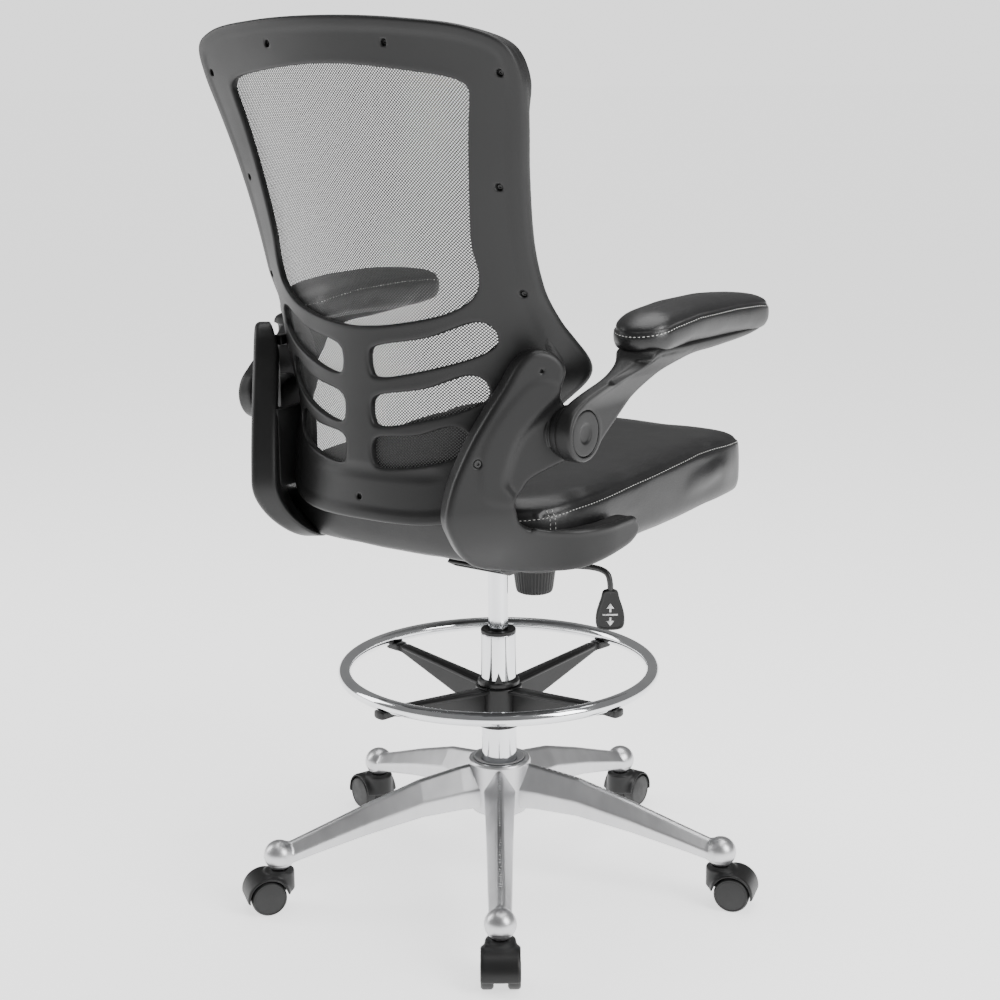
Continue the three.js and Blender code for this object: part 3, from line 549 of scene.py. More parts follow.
def star_base():
    arm = surface_net(star_arm_field, (0.034, -0.027, 0.056), (0.350, 0.027, 0.187), 0.0016)
    hub = turned(rounded_profile([
        (0.0254, HUB_BOTTOM), (0.040, HUB_BOTTOM), (0.042, 0.133), (0.0452, HUB_TOP - 0.004),
        (0.0435, HUB_TOP), (0.038, HUB_TOP), (0.028, HUB_TOP - 0.0062), (0.0254, HUB_TOP - 0.0062),
        (0.0254, HUB_BOTTOM)], 0.0015), 96)
    parts = [moved(hub, None, (0, COLUMN_Y, 0))]
    for i in range(STAR_ARMS):
        parts.append(moved(arm, about_z(star_angle(i)), (0, COLUMN_Y, 0)))
    piece = merged("star_base_casting", parts)
    finish_piece(piece, "base", "star_aluminium", ["star_base"])
    ring = turned(rounded_profile([
        (0.0256, 0.1792), (0.0276, 0.1794), (0.0364, 0.1856), (0.0352, 0.1868), (0.0300, 0.1850),
        (0.0256, 0.1830), (0.0256, 0.1792)], 0.0006), 96)
    piece = sharp_edges(merged("hub_trim", [moved(ring, None, (0, COLUMN_Y, 0))]), 40)
    finish_piece(piece, "base", "trim_grey", ["hub_trim_ring"])


def star_angle(i):
    return -math.pi / 2 + i * 2 * math.pi / STAR_ARMS


# ---------------------------------------------------------------- casters
def caster_housing_field(x, y, z):
    """Stem along +Z at x = 0, trailing along +X: a hood over both wheels on a central web."""
    across = np.abs(y)
    round_hood = np.hypot(x - CASTER_TRAIL, z - WHEEL_RADIUS)
    hood = soft_max(round_hood - 0.0305, across - 0.027, 0.006)
    barrel = soft_max(np.hypot(x, y) - 0.0205, slab(z, 0.027, 0.0585), 0.004)
    collar = soft_max(np.hypot(x, y) - 0.0165, slab(z, 0.05, 0.0598), 0.002)
    body = soft_min(soft_min(hood, barrel, 0.007), collar, 0.002)
    room = np.maximum(round_hood - 0.027, CASTER_WEB / 2 - across)
    outer_cut = np.maximum(round_hood - 0.0262, 0.0255 - across)
    body = soft_max(body, -np.minimum(room, outer_cut), 0.0015)
    lip = (0.0095 + 0.35 * np.maximum(x - CASTER_TRAIL, 0)) - z
    body = soft_max(body, lip, 0.003)
    heel = np.maximum(x + 0.001, z - 0.0275)
    return soft_max(body, -heel, 0.003)


def wheel_part():
    """One wheel, its inner face at z = 0 and its closed, slightly dished disc at the far side."""
    rim, face = WHEEL_RADIUS, 0.0168
    return turned(rounded_profile([
        (0, 0.012), (0.0043, 0.012), (0.0043, 0), (rim - 0.003, 0), (rim, 0.0025), (rim, 0.0140),
        (rim - 0.0022, face), (rim - 0.0030, face), (rim - 0.0036, face - 0.0008),
        (rim - 0.0044, face - 0.0004), (0.008, face + 0.0006), (0, face + 0.0006)], 0.0010), 72)


def casters():
    housing = surface_net(caster_housing_field, (-0.026, -0.031, 0.004), (0.056, 0.031, 0.064), 0.0012)
    stem = turned([(0, 0.055), (0.0054, 0.055), (0.0054, 0.088), (0, 0.088)], 32)
    for i in range(STAR_ARMS):
        angle = star_angle(i)
        spot = (STAR_RADIUS * math.cos(angle), COLUMN_Y + STAR_RADIUS * math.sin(angle), 0)
        name = f"caster_{i + 1}"
        piece = merged(f"{name}_hood", [moved(housing, about_z(angle), spot)])
        finish_piece(piece, name, "black_plastic", [f"{name}_housing"])
        piece = sharp_edges(clean(merged(f"{name}_stem", [moved(stem, about_z(angle), spot)])))
        finish_piece(piece, name, "steel")
        rod = moved(turned([(0, -0.020), (0.004, -0.020), (0.004, 0.020), (0, 0.020)], 24),
                    about_z(angle) @ Matrix.Rotation(math.pi / 2, 4, "X"),
                    Vector(spot) + about_z(angle) @ Vector((CASTER_TRAIL, 0, WHEEL_RADIUS)))
        piece = sharp_edges(clean(merged(f"{name}_rod", [rod])))
        finish_piece(piece, f"wheels_{i + 1}", "steel", [f"{name}_axle"])
        for label, side in (("left", 1), ("right", -1)):
            turn = about_z(angle) @ Matrix.Rotation(-side * math.pi / 2, 4, "X")
            offset = about_z(angle) @ Vector((CASTER_TRAIL, side * (CASTER_WEB / 2 + 0.0006), WHEEL_RADIUS))
            wheel = moved(wheel_part(), turn, Vector(spot) + offset)
            piece = sharp_edges(clean(merged(f"{name}_tyre_{label}", [wheel])), 50)
            finish_piece(piece, f"wheels_{i + 1}", "caster_tread", [f"{name}_wheel_{label}"])


# ---------------------------------------------------------------- gas column and foot ring
def column():
    outer = turned(rounded_profile([
        (0.0226, 0.368), (0.0226, 0.099), (0.025, 0.098), (0.025, 0.101), (0.025, 0.3705), (0.025, 0.3725),
        (0.0240, 0.3729), (0.0226, 0.3725), (0.0226, 0.368)], 0.0005), 96)
    piece = sharp_edges(merged("outer_column_tube", [moved(outer, None, (0, COLUMN_Y, 0))]), 40)
    finish_piece(piece, "base", "chrome", ["outer_column"])
    bush = turned(rounded_profile([
        (0.0143, 0.286), (0.0222, 0.286), (0.0222, 0.3731), (0.0250, 0.3731), (0.0252, 0.3770),
        (0.0240, 0.3782), (0.0200, 0.3775), (0.0165, 0.3755), (0.0143, 0.3755), (0.0143, 0.286)], 0.0006), 96)
    piece = sharp_edges(merged("column_bush", [moved(bush, None, (0, COLUMN_Y, 0))]), 40)
    finish_piece(piece, "base", "black_plastic", ["column_guide_bush"])
    lift = turned(rounded_profile([
        (0.0053, 0.190), (0.013, 0.190), (0.014, 0.192), (0.014, 0.195), (0.014, 0.492), (0.014, 0.496),
        (0.012, 0.500), (0.0033, 0.500)], 0.001), 96)
    piece = sharp_edges(merged("lift_tube_shaft", [moved(lift, None, (0, COLUMN_Y, 0))]), 40)
    finish_piece(piece, "lift", "chrome", ["lift_tube"])


def torus_part(radius, tube, z, around=256, across=32):
    verts, faces = [], []
    for i in range(around):
        a = 2 * math.pi * i / around
        for k in range(across):
            b = 2 * math.pi * k / across
            r = radius + tube * math.cos(b)
            verts.append((r * math.cos(a), r * math.sin(a), z + tube * math.sin(b)))
    for i in range(around):
        for k in range(across):
            j, n = (i + 1) % around, (k + 1) % across
            faces.append((i * across + k, j * across + k, j * across + n, i * across + n))
    return np.array(verts), faces


def spider_arm_field(x, y, z):
    """One spider arm along +X: a deep tapering blade under a narrow ledge, ending in a saddle."""
    across = np.abs(y)
    top = np.interp(x, (0.028, 0.203, 0.240), (0.2935, 0.311, 0.311))
    bottom = np.interp(x, (0.028, 0.045, 0.213), (0.2465, 0.2475, 0.3015))
    blade = soft_max(soft_max(across - 0.0045, z - top, 0.003), bottom - z, 0.003)
    ledge_half = np.interp(x, (0.028, 0.19), (0.0125, 0.0085))
    ledge = soft_max(across - ledge_half, slab(z, top - 0.0052, top), 0.0025)
    ledge = soft_max(ledge, x - 0.198, 0.003)
    saddle = soft_max(soft_max(across - 0.0100, slab(x, 0.203, 0.2300), 0.004),
                      slab(z, 0.3005, 0.3115), 0.003)
    arm = soft_min(soft_min(blade, ledge, 0.003), saddle, 0.004)
    arm = soft_max(arm, x - 0.2305, 0.003)
    ring = np.hypot(x - RING_RADIUS, z - RING_Z) - RING_TUBE - 0.0003
    return soft_max(arm, -ring, 0.001)


def foot_ring():
    spot = (0, COLUMN_Y, 0)
    piece = merged("foot_ring_tube", [moved(torus_part(RING_RADIUS, RING_TUBE, RING_Z), None, spot)])
    finish_piece(piece, "ring", "chrome", ["foot_ring"])
    arm = surface_net(spider_arm_field, (0.028, -0.017, 0.242), (0.238, 0.017, 0.318), 0.0013)
    hub = turned(rounded_profile([
        (0.0254, 0.236), (0.0315, 0.236), (0.033, 0.240), (0.033, 0.2945), (0.0315, 0.2958),
        (0.0254, 0.2958), (0.0254, 0.236)], 0.001), 96)
    parts = [moved(hub, None, spot)]
    parts += [moved(arm, about_z(SPIDER_TURN + i * math.pi / 2), spot) for i in range(SPIDER_ARMS)]
    piece = merged("spider", parts)
    finish_piece(piece, "ring", "black_plastic", ["foot_ring_spider"])
    collar = turned(rounded_profile([
        (0.0254, 0.2966), (0.0295, 0.2966), (0.030, 0.2975), (0.030, 0.3025), (0.0275, 0.306),
        (0.0254, 0.306), (0.0254, 0.2966)], 0.001), 96, ribs=36, rib_depth=0.012)
    pointer = np.array([(-0.006, 0.304), (0.006, 0.304), (0, 0.3185)])
    front = [(x, -0.0285, z) for x, z in pointer]
    rear = [(x, -0.0254, z) for x, z in pointer]
    faces = [(0, 1, 2), (5, 4, 3), (0, 3, 4, 1), (1, 4, 5, 2), (2, 5, 3, 0)]
    turn = about_z(math.pi + math.pi / 5)
    piece = merged("lock_collar", [moved(collar, None, spot), moved((front + rear, faces), turn, spot)])
    finish_piece(sharp_edges(piece), "collar", "black_plastic", ["ring_lock_collar"])


# ---------------------------------------------------------------- controls under the seat
KNOB_Y = -0.090 + COLUMN_Y
SPRING_BOTTOM = 0.419
SPRING_TOP = 0.461
SPRING_TURNS = 4
SPRING_RADIUS = 0.014
SPRING_WIRE = 0.002


def tension_knob():
    knob = turned(rounded_profile([
        (0.0053, 0.4105), (0.022, 0.4105), (0.026, 0.4125), (0.0275, 0.418), (0.032, 0.452), (0.030, 0.455),
        (0.022, 0.455), (0.0205, 0.416), (0.0053, 0.416), (0.0053, 0.4105)], 0.0015), 216, 36, 0.04)
    piece = merged("tension_knob_grip", [moved(knob, None, (0, KNOB_Y, 0))])
    finish_piece(piece, "knob", "black_plastic", ["tension_knob"])


def tension_spring():
    """A coil of even pitch from the spring's bottom to its top; the real spring shortens as the knob is
    screwed in, this one keeps its length.
    """
    length = SPRING_TOP - SPRING_BOTTOM
    turns = [math.tau * SPRING_TURNS * i / 96 for i in range(97)]
    coil = []
    for turn in turns:
        z = SPRING_BOTTOM + SPRING_WIRE + (length - 2 * SPRING_WIRE) * turn / turns[-1]
        coil.append((SPRING_RADIUS * math.cos(turn), KNOB_Y + SPRING_RADIUS * math.sin(turn), z))
    spring = clean(merged("tension_spring_coil", [tube_along(coil, SPRING_WIRE)]))
    finish_piece(sharp_edges(spring, 50), "lift", "steel", ["tension_spring"])
    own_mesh(spring)


def lever():
    path = smooth_curve([(-0.020, 0.057, 0.486), (-0.055, 0.057, 0.486), (-0.082, 0.057, 0.486),
                         (-0.112, 0.059, 0.491), (-0.150, 0.063, 0.503), (-0.205, 0.066, 0.508),
                         (-0.2185, 0.067, 0.503), (-0.2225, 0.067, 0.490), (-0.2225, 0.067, 0.474)], 8)
    piece = clean(merged("lever_wire", [tube_along(path, 0.004)]))
    finish_piece(sharp_edges(piece, 50), "lever", "black_steel", ["lever_rod"])
    paddle()


PADDLE_OUTLINE = [(-0.0085, 0.055), (0.0085, 0.055), (0.0125, 0.044), (0.019, 0.020), (0.0165, 0.004),
                  (0, 0.0005), (-0.0165, 0.004), (-0.019, 0.020), (-0.0125, 0.044)]
PADDLE_TURN = math.radians(36)
PADDLE_SPOT = (-0.2225, 0.067, 0.427)


def paddle():
    shape = outline_field(PADDLE_OUTLINE, spacing=0.0005, margin=0.006)

    def field(x, y, z):
        plate = soft_max(shape(x, z), np.abs(y) - 0.0046, 0.0035)
        dish = np.maximum(shape(x, z) + 0.0035, 0.0040 - np.abs(y))
        return soft_max(plate, -dish, 0.0008)

    part = surface_net(field, (-0.021, -0.007, -0.003), (0.021, 0.007, 0.058), 0.0009)
    turn = about_z(PADDLE_TURN)
    piece = merged("lever_grip", [moved(part, turn, PADDLE_SPOT)])
    finish_piece(piece, "lever", "black_plastic", ["lever_paddle"])
    marks = [moved(mark, turn, PADDLE_SPOT) for mark in paddle_icon(0.0042)]
    marks += [moved(mark, turn @ about_z(math.pi), PADDLE_SPOT) for mark in paddle_icon(0.0042)]
    piece = merged("lever_grip_marks", marks)
    finish_piece(piece, "lever", "black_plastic", look=PRINT)


def paddle_icon(y):
    """Generic marks: an arrow up, a seat line and an arrow down, as thin raised shapes."""
    shapes = [
        [(-0.005, 0.031), (0.005, 0.031), (0, 0.038)], [(-0.0013, 0.026), (0.0013, 0.026), (0.0013, 0.031),
                                                       (-0.0013, 0.031)],
        [(-0.010, 0.0215), (0.010, 0.0215), (0.010, 0.0235), (-0.010, 0.0235)],
        [(0, 0.007), (0.005, 0.014), (-0.005, 0.014)], [(-0.0013, 0.014), (0.0013, 0.014),
                                                       (0.0013, 0.019), (-0.0013, 0.019)],
    ]
    parts = []
    for outline in shapes:
        n = len(outline)
        verts = [(x, depth, z) for depth in (y + 0.0003, y - 0.0006) for x, z in outline]
        faces = [tuple(reversed(range(n))), tuple(range(n, 2 * n))]
        faces += [(i, (i + 1) % n, n + (i + 1) % n, n + i) for i in range(n)]
        parts.append((verts, faces))
    return parts


# ---------------------------------------------------------------- back
BACK_WAIST = 0.740
BACK_BOTTOM = 0.600
BACK_TOP = 1.217
BACK_Y = 0.298
BACK_LEAN = 0.055
BACK_BOW = 2.65
BACK_LOW_BOW = 1.9
FRAME_HALF = [(0, 0.600), (0.118, 0.604), (0.150, 0.622), (0.162, 0.690), (0.204, 0.744), (0.232, 0.784),
              (0.223, 0.850), (0.217, 0.940), (0.226, 1.030), (0.239, 1.100), (0.246, 1.146),
              (0.238, 1.182), (0.200, 1.201), (0.110, 1.213), (0, 1.217)]
WINDOW_HALF = [(0, 0.845), (0.070, 0.852), (0.130, 0.868), (0.156, 0.888), (0.163, 0.912), (0.160, 0.950),
               (0.167, 1.020), (0.178, 1.090), (0.185, 1.122), (0.186, 1.135), (0.176, 1.144), (0.110, 1.156),
               (0, 1.164)]
SLOTS = [(0.022, 0.174, 0.802, 0.836), (0.022, 0.160, 0.740, 0.769), (0.022, 0.139, 0.687, 0.704)]
SLOT_HALF_HEIGHT = 0.0205
BACK_SCREWS = [(0.091, 1.187), (0.226, 1.152), (0.199, 1.020), (0.204, 0.890)]


def rear_face(x, z):
    above = np.maximum(0, (z - BACK_WAIST) / (BACK_TOP - BACK_WAIST))
    below = np.maximum(0, (BACK_WAIST - z) / (BACK_WAIST - BACK_BOTTOM))
    spine = BACK_Y + BACK_LEAN * above ** 1.6 + COLUMN_Y
    hollow = BACK_BOW * (1 - 0.8 * above) - (BACK_BOW - BACK_LOW_BOW) * below ** 2
    return spine - hollow * x * x


def on_back(part):
    """Bends a part from (x, z, depth in front of the rear face) onto the back."""
    verts, faces = part
    x, z, depth = np.asarray(verts).T
    return np.stack([x, rear_face(x, z) - depth, z], 1), [face[::-1] for face in faces]


def both_sides(half):
    return half + [(-x, z) for x, z in reversed(half) if x]


def slot_points(inner, outer, z_inner, z_outer):
    half = SLOT_HALF_HEIGHT
    middle, z_middle = (inner + outer) / 2, (z_inner + z_outer) / 2 - 0.004
    return [(inner, z_inner - half * 0.62), (inner + 0.006, z_inner - half * 0.95), (middle, z_middle - half),
            (outer - 0.014, z_outer - half * 0.95), (outer - 0.001, z_outer - half * 0.3),
            (outer - 0.004, z_outer + half * 0.6), (outer - 0.018, z_outer + half * 0.95),
            (middle, z_middle + half), (inner + 0.008, z_inner + half * 0.95), (inner, z_inner + half * 0.6)]


def mesh_depth(z):
    """The fabric's distance in front of the shell's rear face, less at the slots than above them."""
    return np.interp(z, (0.842, 0.880), (0.0103, MESH_FRONT))


def rim_depth(z):
    return 0.017 + 0.012 * smoothstep(z, 1.09, 1.16)


FRAME_EDGE = outline_field(both_sides(FRAME_HALF))


def back_frame_field():
    window = outline_field(both_sides(WINDOW_HALF))
    slots = [outline_field(slot_points(*slot), spacing=0.001, margin=0.012) for slot in SLOTS]

    def field(x, z, depth):
        edge = FRAME_EDGE(x, z)
        hips = smoothstep(z, 0.680, 0.752) * (1 - smoothstep(z, 0.778, 0.900))
        depth = depth - 0.040 * hips * np.clip((edge + 0.040) / 0.040, 0, 1) ** 2
        plate = soft_max(edge, slab(depth, 0, SHELL_THICKNESS), 0.007)
        openings = window(x, z)
        for slot in slots:
            openings = np.minimum(openings, slot(np.abs(x), z))
        plate = soft_max(plate, -openings, 0.004)
        reveal = soft_max(slab(openings, 0.0002, 0.0062), slab(depth, 0.002, MESH_FRONT - 0.001), 0.002)
        plate = soft_min(plate, np.maximum(reveal, edge + 0.004), 0.003)
        deep = rim_depth(z)
        wall = soft_max(np.abs(edge + 0.0045) - 0.0042, slab(depth, 0.001, deep), 0.005)
        shell = soft_min(plate, wall, 0.010)
        for sx, sz in BACK_SCREWS:
            well = np.maximum(np.hypot(np.abs(x) - sx, z - sz) - 0.0042, depth - 0.0062)
            shell = soft_max(shell, -well, 0.0012)
        well = np.maximum(np.hypot(x, z - 0.627) - 0.0038, depth - 0.006)
        dent = np.hypot((z - 0.662) * 0.8, depth + 0.0095) - 0.0105 * (1 - smoothstep(np.abs(x), 0.09, 0.15))
        return soft_max(soft_max(shell, -dent, 0.004), -well, 0.0010)

    return field


def back_frame():
    part = surface_net(back_frame_field(), (-0.256, 0.592, -0.004), (0.256, 1.224, 0.066), 0.0022)
    piece = merged("back_shell", [on_back(part)])
    finish_piece(piece, "seat", "shell_plastic", ["back_frame"])
    screw = turned(rounded_profile([(0, 0.0058), (0.0014, 0.0058), (0.0014, 0.0040), (0.0030, 0.0044),
                                    (0.0030, 0.007), (0, 0.007)], 0.0003), 24)
    spots = [(sx * side, sz) for sx, sz in BACK_SCREWS for side in (1, -1)] + [(0, 0.627)]
    flat = [moved(screw, None, (x, z, 0)) for x, z in spots]
    piece = clean(merged("back_shell_screws", [on_back(part) for part in flat]))
    finish_piece(sharp_edges(piece), "seat", "black_steel")


def back_mesh():
    """A diamond lattice of flat strands with square holes, cut to the frame's outline."""
    pitch, strand = MESH_PITCH, MESH_STRAND
    reach = 0.60
    count = int(reach / pitch)
    index = np.arange(-count, count)
    i, j = (a.ravel() for a in np.meshgrid(index, index, indexing="ij"))
    root = math.sqrt(0.5)
    centre_z = (BACK_BOTTOM + BACK_TOP) / 2

    def place(a, b):
        return (a - b) * pitch * root, (a + b) * pitch * root + centre_z

    cx, cz = place(i + 0.5, j + 0.5)
    kept = (np.abs(cx) < 0.25) & (cz > 0.59) & (cz < 1.22)
    kept[kept] = FRAME_EDGE(cx[kept], cz[kept]) < -0.012
    i, j = i[kept], j[kept]
    size = 2 * count + 1
    offsets = ((0, 0), (1, 0), (1, 1), (0, 1))
    corner_keys = np.stack([(i + a + count) * size + (j + b + count) for a, b in offsets], 1)
    keys, shared = np.unique(corner_keys, return_inverse=True)
    shared = shared.reshape(corner_keys.shape)
    outer_x, outer_z = place(keys // size - count, keys % size - count)
    inset = strand / 2 / pitch
    inner = []
    for a, b in offsets:
        inner.append(place(i + a + (inset if a == 0 else -inset), j + b + (inset if b == 0 else -inset)))
    inner_x = np.stack([p[0] for p in inner], 1).ravel()
    inner_z = np.stack([p[1] for p in inner], 1).ravel()
    x, z = np.concatenate([outer_x, inner_x]), np.concatenate([outer_z, inner_z])
    depth = mesh_depth(z)
    start = len(keys)
    cells = np.arange(len(i)) * 4 + start
    faces = []
    for k in range(4):
        n = (k + 1) % 4
        faces.append(np.stack([shared[:, k], shared[:, n], cells + n, cells + k], 1))
    verts = np.stack([x, rear_face(x, z) - depth, z], 1)
    piece = mesh_object("back_mesh_cloth", verts, np.concatenate(faces).tolist())
    finish_piece(piece, "seat", "mesh_fabric", ["back_mesh"])


def mesh_welt():
    """The rounded welt that holds the mesh into the shell, all the way round its front."""
    def field(x, z, depth):
        edge = FRAME_EDGE(x, z)
        low = MESH_FRONT - 0.0035
        return soft_max(np.abs(edge + 0.0165) - 0.0068, slab(depth, low, MESH_FRONT + 0.010), 0.006)

    part = surface_net(field, (-0.256, 0.592, 0.006), (0.256, 1.224, 0.028), 0.0022)
    piece = merged("mesh_welt", [on_back(part)])
    finish_piece(piece, "seat", "black_plastic", ["mesh_retainer"], look=LOOKS["mesh_fabric"])


# ---------------------------------------------------------------- brackets
# pairs of points on the band's outer and inner edges, in (distance along the plan line, height)
BRACKET_BAND = [
    ((0.044, 0.824), (0.016, 0.818)), ((0.062, 0.810), (0.002, 0.798)), ((0.080, 0.782), (0.012, 0.770)),
    ((0.099, 0.754), (0.034, 0.748)), ((0.120, 0.721), (0.062, 0.720)), ((0.137, 0.688), (0.078, 0.684)),
    ((0.150, 0.655), (0.082, 0.661)), ((0.156, 0.618), (0.071, 0.643)), ((0.144, 0.589), (0.066, 0.628)),
    ((0.126, 0.563), (0.062, 0.614)), ((0.102, 0.545), (0.050, 0.603)), ((0.060, 0.535), (0.022, 0.597)),
    ((0.010, 0.541), (-0.012, 0.595)), ((-0.060, 0.554), (-0.060, 0.595)),
    ((-0.108, 0.563), (-0.104, 0.596)), ((-0.124, 0.575), (-0.119, 0.591))]
WEB_OUTLINE = [(-0.006, 0.690), (0.022, 0.676), (0.048, 0.663), (0.064, 0.645), (0.100, 0.650),
               (0.104, 0.690), (0.092, 0.722), (0.070, 0.752), (0.040, 0.778), (0.020, 0.776),
               (0.000, 0.750), (-0.010, 0.720)]
BRACKET_X = 0.241
BRACKET_Y = 0.190
BRACKET_HALF = 0.0175
BRACKET_BEND = 0.070
BRACKET_CURL = 7                 # how fast the band curls inward below BRACKET_CURL_TOP
BRACKET_CURL_TOP = 0.630
CUSHION_CUT = 0.576              # above this height the bracket is cut clear of the cushion
BRACKET_HOLES = [(0.034, 0.799), (0.116, 0.690)]


def plan_line(run):
    """Points and directions on the bracket's plan line, toed in behind the pivot and straight ahead of it."""
    table = np.arange(-0.160, 0.0001, 0.002)
    turn = TOE_IN * np.clip(1 + table / BRACKET_BEND, 0, 1)
    step = 0.002
    x = BRACKET_X + (np.cumsum(np.sin(turn)[::-1]) * step)[::-1] - np.sin(TOE_IN) * step
    y = BRACKET_Y - (np.cumsum(np.cos(turn)[::-1]) * step)[::-1] + np.cos(TOE_IN) * step
    ahead = np.clip(run, -0.160, 0)
    behind = np.maximum(run, 0)
    at_x = np.interp(ahead, table, x) - np.sin(TOE_IN) * behind
    at_y = np.interp(ahead, table, y) + np.cos(TOE_IN) * behind
    heading = np.interp(ahead, table, turn)
    return at_x, at_y, heading


def bracket_place(run, z, depth):
    x, y, heading = plan_line(run)
    curl = smoothstep(run, -0.030, 0.080) * BRACKET_CURL * np.maximum(0, BRACKET_CURL_TOP - z) ** 2
    depth = depth - curl
    return x + np.cos(heading) * depth, y + np.sin(heading) * depth + COLUMN_Y, z


def bracket_field():
    ring = [pair[0] for pair in BRACKET_BAND] + [pair[1] for pair in reversed(BRACKET_BAND)]
    band_edge = outline_field(ring, margin=0.02)
    web_edge = outline_field(WEB_OUTLINE, margin=0.02)
    seat_edge = outline_field(seat_plan(), margin=0.06)

    def field(run, z, depth):
        edge = band_edge(run, z)
        band = soft_max(edge, slab(depth, -BRACKET_HALF, BRACKET_HALF), 0.009)
        web = soft_max(web_edge(run, z), slab(depth, -0.002, 0.0115), 0.006)
        body = soft_min(band, web, 0.014)
        for (hole_run, hole_z), radius in zip(BRACKET_HOLES, (0.0022, 0.0052)):
            well = np.maximum(np.hypot(run - hole_run, z - hole_z) - radius, BRACKET_HALF - 0.004 - depth)
            body = soft_max(body, -well, 0.0012)
        lip_z = np.interp(run, (-0.119, -0.104, -0.060, -0.012, 0.022, 0.050),
                          (0.588, 0.5935, 0.5925, 0.5925, 0.5945, 0.6005))
        lip = np.hypot((z - lip_z) * 0.9, depth - BRACKET_HALF + 0.0035) - 0.0042
        lip = soft_max(lip, np.abs(run + 0.035) - 0.080, 0.006)
        body = soft_min(body, lip, 0.002)
        x, y, _ = bracket_place(run, z, depth)
        cushion = np.maximum(seat_edge(x, y) - 0.0015, CUSHION_CUT - z)
        return soft_max(body, -cushion, 0.002)

    return field


def brackets():
    verts, faces = surface_net(bracket_field(), (-0.138, 0.522, -0.026), (0.168, 0.834, 0.026), 0.0022)
    left = (np.stack(bracket_place(*verts.T), 1), faces)
    boss = turned(rounded_profile([
        (0, 0.205), (0.026, 0.205), (0.0315, 0.214), (0.0315, 0.2355), (0.029, 0.237), (0.029, 0.2395),
        (0.0325, 0.241), (0.0325, 0.2492), (0.030, 0.2496), (0, 0.2496)], 0.0012), 96)
    turn = Matrix.Rotation(math.pi / 2, 4, "Y")
    pieces = [left, moved(boss, turn, PIVOT)]
    pieces += stubs()
    for side in ("left", "right"):
        piece = merged(f"bracket_{side}_moulding", [sided(part, side) for part in pieces])
        finish_piece(clean(piece), "seat", "black_plastic", [f"bracket_{side}"])


def rounded_block(low, high, radius=0.003):
    """(vertices, faces) of a box with rounded edges."""
    bm = bmesh.new()
    bmesh.ops.create_cube(bm, size=1)
    size = Vector(high) - Vector(low)
    middle = (Vector(high) + Vector(low)) / 2
    for vert in bm.verts:
        vert.co = Vector((vert.co.x * size.x, vert.co.y * size.y, vert.co.z * size.z)) + middle
    bmesh.ops.bevel(bm, geom=bm.edges[:], offset=radius, segments=3, affect="EDGES", profile=0.5)
    bm.verts.index_update()
    verts = [tuple(v.co) for v in bm.verts]
    faces = [[v.index for v in face.verts] for face in bm.faces]
    bm.free()
    return verts, faces


def stubs():
    """The posts that run forward from the band to the shell."""
    parts = []
    for (run, z), reach, drop, rise in zip(BRACKET_HOLES, (0.050, 0.085), (0.007, 0.075), (0.007, 0.030)):
        x, y, _ = bracket_place(np.float64(run), z, 0.0)
        x -= 0.010
        parts.append(rounded_block((x - 0.007, y - reach, z - drop), (x + 0.007, y - 0.006, z + rise)))
    return parts


def bracket_screws():
    """A socket screw sunk in each lower hole; it stands for the bolt node under it."""
    head = turned(rounded_profile([(0, -0.0026), (0.0020, -0.0026), (0.0020, -0.0006), (0.0046, -0.0006),
                                   (0.0048, -0.0036), (0, -0.0036)], 0.0004), 32)
    run, z = BRACKET_HOLES[1]
    x, y, _ = bracket_place(np.float64(run), z, BRACKET_HALF)
    outward = Vector((math.cos(TOE_IN), math.sin(TOE_IN), 0)).to_track_quat("Z", "Y").to_matrix().to_4x4()
    screw = moved(head, outward, (x, y, z))
    for side in ("left", "right"):
        piece = clean(merged(f"bracket_{side}_screw", [sided(screw, side)]))
        finish_piece(sharp_edges(piece), "seat", "steel", [f"back_bolt_{side}"], look=LOOKS["black_steel"])


# ---------------------------------------------------------------- flip-up arms
ARM_OUTLINE = [(0.226, 0.722), (0.219, 0.744), (0.201, 0.758), (0.172, 0.772), (0.138, 0.786),
               (0.112, 0.800), (0.098, 0.814), (0.020, 0.816), (-0.090, 0.816), (-0.165, 0.816),
               (-0.176, 0.811), (-0.150, 0.804), (-0.060, 0.797), (0.000, 0.794), (0.034, 0.781),
               (0.072, 0.757), (0.116, 0.728), (0.150, 0.705), (0.166, 0.690), (0.190, 0.684),
               (0.214, 0.693)]


def arm_place(y, z, depth):
    splay = 0.026 * smoothstep(z, 0.745, 0.805)
    widen = 0.018 * smoothstep(z, 0.775, 0.812)
    spreading = (depth / ARM_THICKNESS - 0.5) * 2 * widen
    return ARM_INNER + depth + splay + spreading, y + COLUMN_Y, z


def arm_field():
    outline = outline_field(ARM_OUTLINE, margin=0.02)

    def field(y, z, depth):
        edge = outline(y, z)
        arm = soft_max(edge, slab(depth, 0, ARM_THICKNESS), 0.006)
        round_seat = np.hypot(y - BRACKET_Y, z - PIVOT.z)
        rear_side = smoothstep(z - 0.752 + 0.515 * (y - 0.125), -0.004, 0.004)
        strut = smoothstep(round_seat, 0.036, 0.075) * (1 - smoothstep(z, 0.800, 0.812)) * rear_side
        bevel = (depth - ARM_THICKNESS + 0.95 * (edge + 0.0095)) / 1.38
        arm = soft_max(arm, bevel - 0.03 * (1 - strut), 0.0012)
        crease = np.hypot(edge + 0.0105, depth - ARM_THICKNESS) - 0.0011 * strut
        arm = soft_max(arm, -crease, 0.0008)
        disc = soft_max(round_seat - 0.0358, slab(depth, 0, ARM_THICKNESS), 0.003)
        arm = soft_min(arm, disc, 0.0015)
        seat = np.maximum(round_seat - 0.0292, ARM_THICKNESS - 0.003 - depth)
        return soft_max(arm, -seat, 0.001)

    return field


